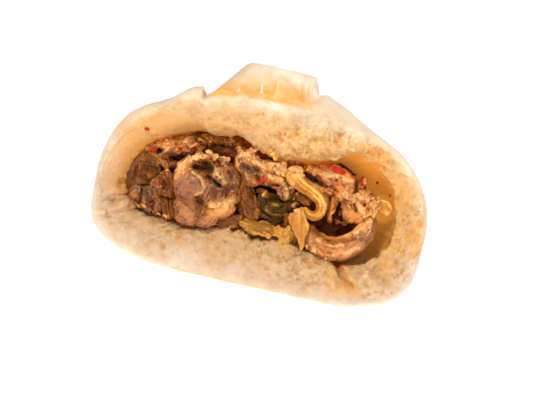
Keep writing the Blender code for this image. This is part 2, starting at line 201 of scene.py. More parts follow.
class BunColours(bpy.types.PropertyGroup):
    """Colours of the bun and its filling."""

    dough: colour_setting("Skin", "Steamed skin of the bun", (0.80, 0.65, 0.49))
    crumb: colour_setting("Crumb", "Torn crumb", (0.70, 0.475, 0.28))
    oil: colour_setting("Oil", "Dough soaked with the filling's oil", (0.92, 0.38, 0.05))
    wall: colour_setting("Inner wall", "Oily dough inside the hollow", (1.0, 0.42, 0.05))
    pork: colour_setting("Pork", "Lean braised pork", (0.47, 0.155, 0.042))
    # Pale crumbly edges, also the painted highlights and glints on the pork's high places
    fat_and_highlight: colour_setting("Fat", "Pale crumbly edges of the pork", (1.0, 0.56, 0.19))
    glaze: colour_setting("Glaze", "Orange glaze on the pork", (0.84, 0.29, 0.045))
    # The darkest brown: painted shade in the pork's folds and hollows
    fold_shade: colour_setting("Gravy", "Dark gravy in the folds", (0.075, 0.018, 0.002))
    cabbage: colour_setting("Cabbage", "Pale cabbage stem", (0.82, 0.38, 0.06))
    leaf: colour_setting("Leaf", "Dark cooked cabbage leaf", (0.30, 0.095, 0.010))
    chilli: colour_setting("Chilli", "Red chilli skin", (0.42, 0.022, 0.006))


# ---------------------------------------------------------------- shapes of the solid


def smooth_step(low, high, value):
    share = np.clip((value - low) / (high - low), 0, 1)
    return share * share * (3 - 2 * share)


def closed_spline(points, steps):
    """Points on a smooth closed curve through the given ones."""
    p = np.array(points, float)
    before, after, beyond = np.roll(p, 1, 0), np.roll(p, -1, 0), np.roll(p, -2, 0)
    curve = []
    for step in range(steps):
        s = step / steps
        curve.append(
            0.5 * (2 * p + (after - before) * s + (2 * before - 5 * p + 4 * after - beyond) * s**2
                   + (3 * p - before - 3 * after + beyond) * s**3)
        )
    return np.stack(curve, axis=1).reshape(-1, 2)


def spline_at(points, places):
    """Points on a smooth open curve, at places from 0, its start, to 1, its end."""
    p = np.array(points, float)
    p = np.vstack([2 * p[0] - p[1], p, 2 * p[-1] - p[-2]])
    spans = len(p) - 3
    place = np.clip(places, 0, 1) * spans
    i = np.minimum(place.astype(int), spans - 1)
    s = (place - i)[:, None]
    a, b, c, d = p[i], p[i + 1], p[i + 2], p[i + 3]
    return 0.5 * (2 * b + (c - a) * s + (2 * a - 5 * b + 4 * c - d) * s**2
                  + (3 * b - a - 3 * c + d) * s**3)


def mouth_reach(turn):
    """How far from the middle of the hollow each column meets its mouth."""
    curve = closed_spline(MOUTH_MM, 12) * MM
    across, up = curve[:, 0] - HOLLOW_X, curve[:, 1] - HOLLOW_Z
    angle = np.arctan2(up, across) % (2 * np.pi)
    order = np.argsort(angle)
    return np.interp(turn % (2 * np.pi), angle[order], np.hypot(across, up)[order], period=2 * np.pi)


def bun_reach(turn, y):
    """How far from the middle of the hollow each column meets the smooth bun, at depth y."""
    dx, dz = np.cos(turn), np.sin(turn)
    low, high = np.zeros_like(dx * y), np.full_like(dx * y, 2 * BUN_RADIUS)
    for _ in range(32):
        middle = (low + high) / 2
        x, z = HOLLOW_X + middle * dx, HOLLOW_Z + middle * dz - WAIST_HEIGHT
        out = np.hypot(x / BUN_RADIUS, y / np.where(y > 0, BUN_BACK, BUN_RADIUS))
        dome = out**DOME_SQUARENESS + np.abs(z / DOME_RISE) ** DOME_SQUARENESS
        belly = out**BELLY_SQUARENESS + np.abs(z / BELLY_DROP) ** BELLY_SQUARENESS
        outside = np.where(z > 0, dome, belly) > 1
        low, high = np.where(outside, low, middle), np.where(outside, middle, high)
    return low


def gathered_top(x, y, sizes):
    """How far the knot and the pleats raise the dome's top, and how deep in a fold each point is."""
    across, back = x - KNOT_X, y - KNOT_Y
    out = np.hypot(across / np.where(across < 0, KNOT_LEFT, KNOT_RIGHT), back / KNOT_HALF_DEPTH)
    radius = np.hypot(across, back)
    shoulder, slope = (np.where(across < 0, *pair) for pair in (KNOT_SHOULDERS, KNOT_SLOPES))
    knot = KNOT_RISE * (1 - smooth_step(0, 1, (out - shoulder) / (1 - shoulder))) * (1 - slope * out**2)
    knot = knot - sizes.knot_dimple * np.exp(-((out / 0.2) ** 2))
    for place, width, rise in KNOT_SWELLINGS:
        knot = knot + rise * np.exp(-(((x - place) / width) ** 2) - (back / (13 * MM)) ** 2)
    for place, width, depth in KNOT_DIPS:
        knot = knot - depth * np.exp(-(((x - place) / width) ** 2) - ((y + 4 * MM) / (11 * MM)) ** 2)
    angle = np.arctan2(back, across)
    uneven = 0.35 * np.sin(2 * angle + 0.7) + 0.22 * np.sin(5 * angle + 2.1)
    swirl = PLEATS * angle / (2 * np.pi) + PLEAT_TWIST * np.log1p(2 * out) + uneven
    saw = swirl % 1
    # Each pleat rises over most of its width and falls back steeply
    fold = np.where(saw < 0.8, (saw / 0.8) ** 0.8, (1 - saw) / 0.2) - 0.6
    reach = PLEAT_REACH * (0.85 + 0.15 * np.sin(3 * angle + 1.3))
    inner = 1.1 - 0.8 * smooth_step(0, 15 * MM, y)
    height = smooth_step(inner, inner + 0.7, out) * (1 - smooth_step(0.3 * reach, reach, radius))
    height = height * (0.1 + 0.9 * smooth_step(0, 15 * MM, y))
    return knot + sizes.pleat_height * fold * height, np.clip(-fold, 0, 1) * height


def relief(x, z):
    """How far back the torn face lies."""
    y = TEAR_Y * np.ones_like(x)
    for across, up, half_width, half_height, out in SWELLINGS:
        y = y - out * np.exp(-(((x - across) / half_width) ** 2) - ((z - up) / half_height) ** 2)
    return y


def left_to_right(pair, turn):
    """A size that is pair[0] at the left-hand side and pair[1] from the top round to the bottom."""
    left, right = pair
    return right + (left - right) * smooth_step(0.25, 0.9, -np.cos(turn))


# ---------------------------------------------------------------- modelling helpers


def deselect_all():
    for thing in bpy.context.view_layer.objects:
        thing.select_set(False)


def take(piece):
    """Make this piece the one that operators act on."""
    deselect_all()
    piece.select_set(True)
    bpy.context.view_layer.objects.active = piece


def join(pieces):
    deselect_all()
    for piece in pieces:
        piece.select_set(True)
    bpy.context.view_layer.objects.active = pieces[0]
    bpy.ops.object.join()
    return pieces[0]


def apply_modifier(piece, kind, **settings):
    step = piece.modifiers.new(kind.lower(), kind)
    for name, value in settings.items():
        setattr(step, name, value)
    take(piece)
    bpy.ops.object.modifier_apply(modifier=step.name)


def on_whole_mesh(piece, operator, **settings):
    """Run one edit-mode operator on all of a piece's mesh."""
    take(piece)
    bpy.ops.object.mode_set(mode="EDIT")
    bpy.ops.mesh.select_all(action="SELECT")
    operator(**settings)
    bpy.ops.object.mode_set(mode="OBJECT")


def points_of(piece, kind="co"):
    spots = np.empty(len(piece.data.vertices) * 3, np.float32)
    piece.data.vertices.foreach_get(kind, spots)
    return spots.reshape(-1, 3).astype(float)


def normals_of(piece):
    return points_of(piece, "normal")


def move_points(piece, spots):
    piece.data.vertices.foreach_set("co", spots.astype(np.float32).ravel())
    piece.data.update()


def raise_points(piece, heights):
    """Move every point along its normal, by its height in millimetres."""
    move_points(piece, points_of(piece) + normals_of(piece) * heights[:, None] * MM)


def mark(piece, name, values):
    """Store a value for every point, from 0 to 1, that the materials read."""
    layer = piece.data.attributes.get(name) or piece.data.attributes.new(name, "FLOAT", "POINT")
    layer.data.foreach_set("value", np.clip(values, 0, 1).astype(np.float32))


def field(spots, scale, seed=0.0, octaves=1):
    """Soft noise at every point, about -1 to 1, with lumps of this size."""
    q = spots / scale + np.array([seed, seed * 0.7, -seed * 0.4])
    if octaves == 1:
        return np.array([noise.noise(Vector(p)) for p in q])
    return np.array([noise.fractal(Vector(p), 0.9, 2.1, octaves) for p in q])


def cells(spots, scale, seed=0.0):
    """How far each point is from the middle of its cell, for cells of this size."""
    q = spots / scale + np.array([seed, -seed * 0.6, seed * 0.3])
    return np.array([noise.voronoi(Vector(p))[0][0] for p in q])


def stretched(spots, way, factor):
    """Points squeezed along a direction, so that noise runs in fibres along it."""
    way = np.array(Vector(way).normalized())
    return spots - np.outer(spots @ way, way) * (1 - 1 / factor)


def closeness(spots, path, width):
    """1 on a path of x, z in millimetres as the camera sees it, falling to 0 this far from it."""
    flat = spots[:, (0, 2)] / MM
    path = np.array(path, float)
    if len(path) == 1:
        away = np.linalg.norm(flat - path[0], axis=1)
    else:
        away = np.full(len(flat), 1e9)
        for start, end in zip(path[:-1], path[1:]):
            span = end - start
            share = np.clip((flat - start) @ span / (span @ span), 0, 1)
            away = np.minimum(away, np.linalg.norm(flat - start - share[:, None] * span, axis=1))
    return 1 - smooth_step(0, 1, away / width)


def settle(piece, name, finish, slot, *nodes):
    """Name a finished piece, dress it and tie it to the frame."""
    piece.name = name
    piece.data.name = name
    piece.data.materials.clear()
    piece.data.materials.append(finish)
    take(piece)
    bpy.ops.object.shade_smooth()
    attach(piece, "root")
    if nodes:
        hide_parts(*nodes)
    return piece


# ---------------------------------------------------------------- materials


def shader(name):
    """A material with its Principled BSDF."""
    made = bpy.data.materials.new(name)
    made.use_nodes = True
    return made, made.node_tree, made.node_tree.nodes["Principled BSDF"]


def node(tree, kind, **settings):
    made = tree.nodes.new(kind)
    for name, value in settings.items():
        if name.startswith("in_"):
            made.inputs[name[3:].replace("_", " ")].default_value = value
        else:
            setattr(made, name, value)
    return made


def attribute(tree, name):
    return node(tree, "ShaderNodeAttribute", attribute_name=name).outputs["Fac"]


def mix_colour(tree, factor, a, b, blend="MIX"):
    """Mix two colours, each an output or a plain colour."""
    made = node(tree, "ShaderNodeMix", data_type="RGBA", blend_type=blend)
    for socket, value in ((0, factor), (6, a), (7, b)):
        if isinstance(value, bpy.types.NodeSocket):
            tree.links.new(value, made.inputs[socket])
        elif socket == 0:
            made.inputs[0].default_value = value
        else:
            made.inputs[socket].default_value = (*value[:3], 1)
    return made.outputs[2]


def reckon(tree, operation, *values):
    """The outcome of a sum on outputs or plain numbers."""
    made = node(tree, "ShaderNodeMath", operation=operation)
    for i, value in enumerate(values):
        if isinstance(value, bpy.types.NodeSocket):
            tree.links.new(value, made.inputs[i])
        else:
            made.inputs[i].default_value = value
    return made.outputs[0]


def times(tree, a, b):
    return reckon(tree, "MULTIPLY", a, b)


def stretch(tree, value, low, high, new_low=0.0, new_high=1.0):
    """A value from low to high, brought to the new range and kept inside it."""
    made = node(tree, "ShaderNodeMapRange")
    tree.links.new(value, made.inputs[0])
    for i, number in enumerate((low, high, new_low, new_high)):
        made.inputs[i + 1].default_value = number
    return made.outputs[0]


def toned(colour, by):
    """A colour times one number or three, at most full strength."""
    return [min(1, c * k) for c, k in zip(colour, np.broadcast_to(by, 3))]


def constants(surface, **values):
    """Set plain values on a shader's own sockets."""
    for name, value in values.items():
        surface.inputs[name.replace("_", " ")].default_value = value


def speckle_group():
    """Fine mottling and grain on object coordinates, used by every material."""
    name = "mottle_and_grain"
    if name in bpy.data.node_groups:
        return bpy.data.node_groups[name]
    group = bpy.data.node_groups.new(name, "ShaderNodeTree")
    for label, default in (("Mottle Size", 300.0), ("Grain Size", 1500.0)):
        socket = group.interface.new_socket(label, in_out="INPUT", socket_type="NodeSocketFloat")
        socket.default_value = default
    for label in ("Mottle", "Grain"):
        group.interface.new_socket(label, in_out="OUTPUT", socket_type="NodeSocketFloat")
    enter = group.nodes.new("NodeGroupInput")
    leave = group.nodes.new("NodeGroupOutput")
    place = group.nodes.new("ShaderNodeTexCoord")
    for label, detail in (("Mottle", 3.0), ("Grain", 4.0)):
        made = node(group, "ShaderNodeTexNoise", in_Detail=detail, in_Roughness=0.6)
        group.links.new(place.outputs["Object"], made.inputs["Vector"])
        group.links.new(enter.outputs[label + " Size"], made.inputs["Scale"])
        group.links.new(made.outputs["Fac"], leave.inputs[label])
    return group


def speckle(tree, mottle_size, grain_size):
    made = tree.nodes.new("ShaderNodeGroup")
    made.node_tree = speckle_group()
    made.inputs["Mottle Size"].default_value = mottle_size
    made.inputs["Grain Size"].default_value = grain_size
    return made.outputs["Mottle"], made.outputs["Grain"]


def bump(tree, surface, height, strength, distance):
    made = node(tree, "ShaderNodeBump", in_Strength=strength, in_Distance=distance)
    tree.links.new(height, made.inputs["Height"])
    tree.links.new(made.outputs["Normal"], surface.inputs["Normal"])


# Tones of the torn crumb, as multiples of its colour: lip is partly oil and partly painted shade, pit and
# dark are painted shade in pits, pores and the crease, with dark also for brown specks
CRUMB_SHADES = {
    "rim": (1.16, 1.56, 2.35), "lip": (0.9, 0.7, 0.4), "ochre": (0.92, 0.66, 0.32),
    "pale": (1.25, 1.4, 1.5), "dark": (0.84, 0.5, 0.17), "pit": (0.88, 0.58, 0.24),
}
# Colour of the painted highlights on the knot, then of the painted glow of the upper rim
GLINT_COLOUR = (1, 0.9, 0.72)
RIM_LIGHT = (1, 0.86, 0.68)


def dough_material(colours):
    """Steamed skin, torn crumb, soaked oil and the lit inner wall, each where its mask says."""
    made, tree, surface = shader("steamed_dough")
    mottle, grain = speckle(tree, 170, 1500)
    patch, _ = speckle(tree, 560, 1500)
    crumb, oil, wall, pore, fold, depth, open_crumb = (
        attribute(tree, name) for name in ("crumb", "oil", "wall", "pore", "fold", "depth", "open"))
    place = node(tree, "ShaderNodeTexCoord").outputs["Object"]
    split = node(tree, "ShaderNodeSeparateXYZ")
    tree.links.new(place, split.inputs[0])
    across, height = split.outputs["X"], split.outputs["Z"]

    # Open crumb: warped cells with pits darkened as painted shade, and pale ridges
    warp = node(tree, "ShaderNodeTexNoise", in_Scale=700, in_Detail=2)
    tree.links.new(place, warp.inputs["Vector"])
    shift = node(tree, "ShaderNodeVectorMath", operation="MULTIPLY_ADD")
    tree.links.new(warp.outputs["Color"], shift.inputs[0])
    shift.inputs[1].default_value = (0.002, 0.002, 0.002)
    tree.links.new(place, shift.inputs[2])
    cell = node(tree, "ShaderNodeTexVoronoi", in_Scale=560, in_Randomness=1)
    tree.links.new(shift.outputs[0], cell.inputs["Vector"])
    away = cell.outputs["Distance"]
    pit = times(tree, open_crumb, stretch(tree, away, 0.12, 0.42, 1, 0))
    ridge = times(tree, open_crumb, stretch(tree, away, 0.35, 0.65, 0, 0.6))

    # The torn face, paler at its rim and darker and yellower towards the lip, partly from oil and partly as
    # painted shade where it turns into the hollow
    skin, torn = tuple(colours.dough), tuple(colours.crumb)
    shades = {name: toned(torn, by) for name, by in CRUMB_SHADES.items()}
    inward = reckon(tree, "ADD", depth, stretch(tree, mottle, 0.3, 0.7, -0.2, 0.2))
    face = mix_colour(tree, stretch(tree, inward, -0.05, 0.42), shades["rim"], torn)
    face = mix_colour(tree, stretch(tree, inward, 0.45, 1.05), face, shades["lip"])
    blotch = times(tree, stretch(tree, patch, 0.5, 0.62), stretch(tree, open_crumb, 0.3, 1, 0.1, 0.8))
    face = mix_colour(tree, blotch, face, shades["ochre"])
    flake = times(tree, stretch(tree, patch, 0.46, 0.34), stretch(tree, open_crumb, 0, 1, 0.2, 0.7))
    face = mix_colour(tree, reckon(tree, "MAXIMUM", ridge, flake), face, shades["pale"])
    # Painted shade in the pits of the open cells
    face = mix_colour(tree, times(tree, pit, stretch(tree, mottle, 0.36, 0.58)), face, shades["pit"])

    # The steamed skin, warmer in its mottling and, as painted shade, in its folds; high up on both skin and
    # crumb, painted light from above, brighter and warmer
    warm = toned(skin, (0.95, 0.85, 0.66))
    outside = mix_colour(tree, stretch(tree, mottle, 0.42, 0.7, 0, 0.8), skin, warm)
    # Painted shade: a warmer, darker tone in the pleats' creases
    outside = mix_colour(tree, times(tree, fold, 0.4), outside, warm)
    colour = mix_colour(tree, crumb, outside, face)
    # Painted light from above: higher parts, mostly of the crumb, brighter and warmer
    torn_share = times(tree, stretch(tree, crumb, 0, 1, 0.3, 1), stretch(tree, depth, 0, 0.3, 0.3, 1))
    painted_top_light = times(tree, stretch(tree, height, 0.018, 0.042), torn_share)
    colour = mix_colour(tree, painted_top_light, colour, (1.1, 1.02, 0.8), "MULTIPLY")

    # Oil, the inner wall with painted shade low down, painted shade in the pores and painted highlights on
    # the knot over them
    yellowed = mix_colour(tree, stretch(tree, across, -0.01, 0.025), colours.oil,
                          toned(colours.oil, (0.88, 1.12, 1.5)))
    soaked = mix_colour(tree, stretch(tree, mottle, 0.3, 0.7), yellowed, (0.98, 0.5, 0.1))
    patchy = stretch(tree, patch, 0.38, 0.6, 0.6, 1.05)
    colour = mix_colour(tree, times(tree, oil, patchy), colour, soaked)
    lining = mix_colour(tree, stretch(tree, mottle, 0.35, 0.6), colours.wall,
                        toned(colours.wall, (0.85, 0.75, 0.5)))
    # Painted shade: the inner wall darker low down in the hollow
    lining = mix_colour(tree, stretch(tree, height, 0.015, 0.03),
                        toned(colours.wall, (0.42, 0.4, 0.25)), lining)
    colour = mix_colour(tree, times(tree, wall, 0.92), colour, lining)
    # Painted shade in the pores, the grain's hollows and the crease, with brown specks
    colour = mix_colour(tree, times(tree, pore, 0.85), colour, shades["dark"])
    # Painted highlights on the knot
    colour = mix_colour(tree, attribute(tree, "glint"), colour, GLINT_COLOUR)
    tree.links.new(colour, surface.inputs["Base Color"])

    # Painted glow: emission for light through the thin wall, stronger higher up, and through the upper rim
    lit = times(tree, wall, stretch(tree, height, 0.014, 0.034, 0.1, 1))
    glow = mix_colour(tree, lit, (0, 0, 0), toned(colours.wall, WALL_GLOW))
    rim = times(tree, crumb, stretch(tree, inward, 0.3, 0))
    rim = times(tree, rim, stretch(tree, height, 0.026, 0.044))
    glow = mix_colour(tree, rim, glow, toned(RIM_LIGHT, RIM_GLOW))
    tree.links.new(glow, surface.inputs["Emission Color"])

    wet = reckon(tree, "MAXIMUM", oil, wall)
    shine = times(tree, wet, stretch(tree, crumb, 0, 1, 0.06, 0.36))
    tree.links.new(reckon(tree, "SUBTRACT", stretch(tree, crumb, 0, 1, 0.42, 0.6), shine),
                   surface.inputs["Roughness"])
    constants(surface, Emission_Strength=1, Specular_IOR_Level=0.45, Subsurface_Weight=0.5,
              Subsurface_Radius=(1.0, 0.5, 0.25), Subsurface_Scale=0.004)
    bumps = reckon(tree, "ADD", times(tree, times(tree, away, open_crumb), 1.6), grain)
    bumps = times(tree, bumps, stretch(tree, crumb, 0, 1, 0.1, 1))
    bump(tree, surface, reckon(tree, "ADD", bumps, times(tree, mottle, 0.3)), 0.9, 0.0008)
    return made


def food_colour(tree, plain, pale, amber, deep, mottle):
    """A piece's colour with its tinted pale, amber and dark places, and painted shade and highlights from
    its relief.
    """
    height = attribute(tree, "height")
    wobble = stretch(tree, mottle, 0.35, 0.65, -0.18, 0.18)
    # Painted shade: the low places take the deep colour
    colour = mix_colour(tree, stretch(tree, height, 0.15, 0.85), deep, plain)
    colour = mix_colour(tree, stretch(tree, mottle, 0.3, 0.7, 0, 0.35), colour, amber)
    glazed = reckon(tree, "ADD", attribute(tree, "amber"), wobble)
    colour = mix_colour(tree, stretch(tree, glazed, 0.1, 0.8, 0, 0.9), colour, amber)
    # Painted highlight: the high places grow paler, and so do the pale tints, which are partly pale edges
    # and fibre and partly painted glints
    raised = reckon(tree, "ADD", attribute(tree, "pale"), stretch(tree, height, 0.3, 1, -0.25, 0.3))
    raised = reckon(tree, "ADD", raised, wobble)
    colour = mix_colour(tree, stretch(tree, raised, 0.15, 0.9), colour, pale)
    # The dark tints are painted shade
    sunk = reckon(tree, "ADD", attribute(tree, "dark"), wobble)
    return mix_colour(tree, stretch(tree, sunk, 0.1, 0.8, 0, 0.92), colour, deep)


def wet_finish(tree, surface, mottle, grain, rough, coat, soft, gloss=0.22):
    """A wet coat in patches over a rougher, slightly see-through body."""
    tree.links.new(stretch(tree, grain, 0.3, 0.7, *rough), surface.inputs["Roughness"])
    tree.links.new(stretch(tree, mottle, 0.35, 0.65, *coat), surface.inputs["Coat Weight"])
    constants(surface, Coat_Roughness=0.07, Specular_IOR_Level=gloss, Subsurface_Weight=soft,
              Subsurface_Radius=(1.0, 0.4, 0.15), Subsurface_Scale=0.0014)


def meat_material(name, lean, pale, amber, deep, coat=(0.3, 1), gloss=0.4):
    made, tree, surface = shader(name)
    mottle, grain = speckle(tree, 420, 2300)
    tree.links.new(food_colour(tree, lean, pale, amber, deep, mottle), surface.inputs["Base Color"])
    wet_finish(tree, surface, mottle, grain, (0.16, 0.42), coat, 0.15, gloss)
    bump(tree, surface, reckon(tree, "ADD", grain, times(tree, mottle, 0.8)), 0.8, 0.0005)
    return made


def cabbage_material(name, plain, pale, deep, coat=(0, 0.3), soft=0.3):
    made, tree, surface = shader(name)
    mottle, grain = speckle(tree, 330, 1900)
    tree.links.new(food_colour(tree, plain, pale, plain, deep, mottle), surface.inputs["Base Color"])
    wet_finish(tree, surface, mottle, grain, (0.16, 0.4), coat, soft)
    bump(tree, surface, grain, 0.35, 0.00025)
    return made


def chilli_material(colours):
    made, tree, surface = shader("chilli_skin")
    mottle, grain = speckle(tree, 900, 2500)
    tree.links.new(mix_colour(tree, stretch(tree, mottle, 0.4, 0.7), colours.chilli,
                              toned(colours.chilli, (1.6, 3, 2.4))), surface.inputs["Base Color"])
    tree.links.new(stretch(tree, grain, 0.3, 0.7, 0.2, 0.4), surface.inputs["Roughness"])
    constants(surface, Specular_IOR_Level=0.1, Coat_Weight=0.08, Coat_Roughness=0.1)
    bump(tree, surface, grain, 0.3, 0.0002)
    return made


def finishes(colours):
    """All the food materials, made once."""
    if "steamed_dough" in bpy.data.materials:
        return {made.name: made for made in bpy.data.materials}
    lean, pale, amber, deep, stem, leaf = (
        tuple(getattr(colours, name)) for name in ("pork", "fat_and_highlight", "glaze", "fold_shade", "cabbage", "leaf"))
    # Darker cabbage for its low places and dark tints: painted shade
    stem_folds = toned(stem, (0.6, 0.42, 0.3))
    made = [
        dough_material(colours),
        meat_material("braised_pork", toned(lean, (0.94, 0.87, 0.7)), pale, amber, deep),
        meat_material("glazed_pork", toned(lean, (1.7, 1.85, 2.0)), pale, toned(amber, 1.15),
                      toned(deep, 1.4)),
        # A dark copy of the pork for the filling behind: painted shade deep in the hollow
        meat_material("chopped_filling", toned(lean, 0.35), toned(amber, 0.3), toned(amber, 0.3), deep,
                      (0, 0.02), 0.04),
        cabbage_material("cabbage_stem", stem, toned(stem, (1.2, 1.5, 2.2)), stem_folds),
        cabbage_material("cabbage_bit", toned(stem, (0.82, 0.76, 0.68)), toned(stem, (1.05, 1.2, 1.6)),
                         stem_folds),
        cabbage_material("cabbage_leaf", leaf, toned(stem, (0.75, 0.55, 0.6)),
                         toned(leaf, (0.36, 0.26, 0.2)), (0, 0.12)),
        cabbage_material("cabbage_green", (0.14, 0.06, 0.006), (0.4, 0.22, 0.045),
                         (0.045, 0.02, 0.002), (0, 0.15), 0.1),
        cabbage_material("cabbage_olive", (0.52, 0.235, 0.03), (0.8, 0.46, 0.11), (0.2, 0.07, 0.006)),
        chilli_material(colours),
    ]
    return {item.name: item for item in made}


# ---------------------------------------------------------------- dough

# Where the oil has soaked in: across, up, half width and half height in millimetres, how strong
OIL_STAINS = (
    (-34, 32, 7, 7, 0.75), (-37.5, 24, 3, 7, 0.85), (-27, 38.5, 9, 2.6, 0.5), (-16, 41, 5, 2, 0.35),
    (-14, 46.5, 3, 2, 0.35), (-41, 27, 3.5, 5, 0.35), (-6, 43, 6, 4, 0.15), (26, 43, 4, 3, 0.75),
    (30, 38, 5, 4, 0.9), (36, 35, 4, 5, 0.75), (9, 41, 9, 4, 0.4), (-40, 33, 4, 6, 0.5),
    (40, 31, 4, 6, 0.35), (43, 23, 3, 6, 0.9), (40, 19, 2.6, 4, 0.6), (24, 10, 4, 4, 0.7),
    (26, 5.4, 6, 3, 0.7), (36, 15, 4, 3, 0.5), (18, 11, 3, 2, 0.5), (-1, 15, 7, 1.6, 0.45),
    (-34, 14, 1.4, 1.6, 0.5), (-19, 8, 1.3, 1.1, 0.4), (10, 12.4, 4, 1.4, 0.4), (3, 39.5, 3, 2, 0.3),
    (15, 40, 4, 2, 0.25), (33, 11, 4, 3, 0.25),
)
# A split in the lower lip, from the mouth outwards, across and up in millimetres
CREASE = ((22.5, 12.8), (25.2, 9.8), (27.1, 7.6), (28.8, 6.3))
# Raised and pressed-in places of the torn face: by how much, half width, then across and up, in mm
DOUGH_STROKES = (
    (-1.8, 1.8, *CREASE), (1.3, 1.5, (-41.5, 11), (-38, 12.4), (-36, 14.4)),
    (-1.6, 1.2, (-40.4, 14.8), (-38.6, 14.6)), (-0.9, 0.9, (-38.6, 20.4), (-38.4, 18.6)),
    (0.6, 1.4, (-41, 17), (-39.4, 17.6)), (-0.7, 1.2, (-37.7, 11.8)), (-0.7, 1.1, (-23.1, 5.5)),
    (0.9, 2.2, (24, 6.4), (28, 4.6)), (0.9, 2.4, (32, 10.4), (35, 8.4)), (-0.6, 1.2, (30, 12), (36, 13.4)),
    (-0.7, 1, (24, 38.6), (29, 39.6), (33, 37.4)), (0.6, 1, (23, 40.4), (29, 41.4), (34, 39)),
    (0.5, 1.2, (1, 57.6), (5, 55.8), (8, 54)), (-0.4, 1, (-9, 57), (-4, 57.8), (1, 56.4)),
)
# Brownish specks, and painted shade in hollows and along the crease, on the torn face: how strong, half
# width, then across and up, in mm
DOUGH_MARKS = (
    (0.8, 0.9, (-39.1, 14.8)), (0.5, 1.1, (-37.7, 11.8)), (0.6, 0.9, (-38.6, 20.4), (-38.4, 18.6)),
    (0.7, 1.1, (-23.1, 5.5)), (0.5, 0.7, (-33.6, 8)), (0.6, 1, (-22.6, 12.2)), (0.5, 0.7, (-24.4, 13.2)),
    (0.4, 0.6, (-20, 10.6)), (0.5, 0.6, (-18, 10)), (0.6, 1, (6.1, 13.2)), (0.5, 0.8, (10, 9.6)),
    (0.5, 0.6, (14, 8.2)), (0.5, 0.7, (18, 9.4)), (0.45, 0.8, (-4, 9)), (0.4, 1.1, (4.5, 45.6)),
    (0.9, 1.1, (-24.7, 12.1)), (1, 1.1, (-22.8, 9.7), (-22.2, 9.4)), (0.8, 1, (-21.6, 10.8)),
    (1, 1.2, (-20, 8.8), (-19.4, 9.1)), (0.9, 1, (-19.4, 10.2)), (0.7, 1, (-18.9, 12.3)),
    (0.7, 1.1, (-15.8, 10.4)), (0.6, 1, (-33, 10.4)), (0.8, 1.9, (-23.2, 5.6)), (0.5, 1.6, (-33.4, 8.4)),
    (0.9, 1.2, (22.8, 12.2), (25.2, 9.8), (27, 7.8)), (0.6, 1.5, (41.4, 21.6)), (0.6, 1.2, (37, 26.6)),
    (0.5, 1.4, (30.6, 9.8)), (0.5, 1.6, (39.6, 15)), (0.4, 1.6, (35, 9)),
)
# Painted highlights: thin pale glints running down the front of the knot like drips, and soft pale ones on
# its folds, in the same way
KNOT_GLINTS = (
    (1, 0.55, (-12.8, 51.5), (-12.9, 51)), (0.6, 0.4, (-7.2, 54.6), (-6.8, 53.4)),
    (1, 0.55, (-6.7, 53), (-6.5, 52)), (0.6, 1.6, (1, 57.4), (5, 56), (8, 54.4)),
    (0.5, 1.8, (-4, 58.6), (2, 58.6)),
)
# Where the crumb is torn open: across, up, half width and half height in millimetres, how far
OPEN_PLACES = (
    (13, 41, 19, 8, 1), (-6, 43, 9, 5, 0.6), (15, 8, 15, 6, 0.85), (-21, 11, 9, 3.4, 0.7),
    (-20, 40.4, 8, 2.6, 0.6), (-30, 36, 5, 3, 0.4), (0, 9, 14, 4, 0.5), (40, 22, 5, 14, 0.9),
    (34, 9, 6, 6, 0.8), (31, 39, 5, 4, 0.7),
)
# Where the torn face is smooth, stretched dough: across, up, half width and half height in mm
SMOOTH_PLACES = ((-32, 39, 13, 8), (-41, 26, 6, 11), (-38, 31, 6, 8), (-14, 47.6, 12, 2.4))
DOUGH_MASKS = ("crumb", "wall", "fold", "depth", "skin")
FLAP_HEIGHT = 2.2 * MM
EDGE_LIFT = 0.8 * MM
EDGE_GROOVE = 1.2 * MM


def oval(x, z, spot):
    """How far out each point lies in an oval place: 1 on its outline."""
    across, up, half_width, half_height = spot[:4]
    return np.hypot((x / MM - across) / half_width, (z / MM - up) / half_height)


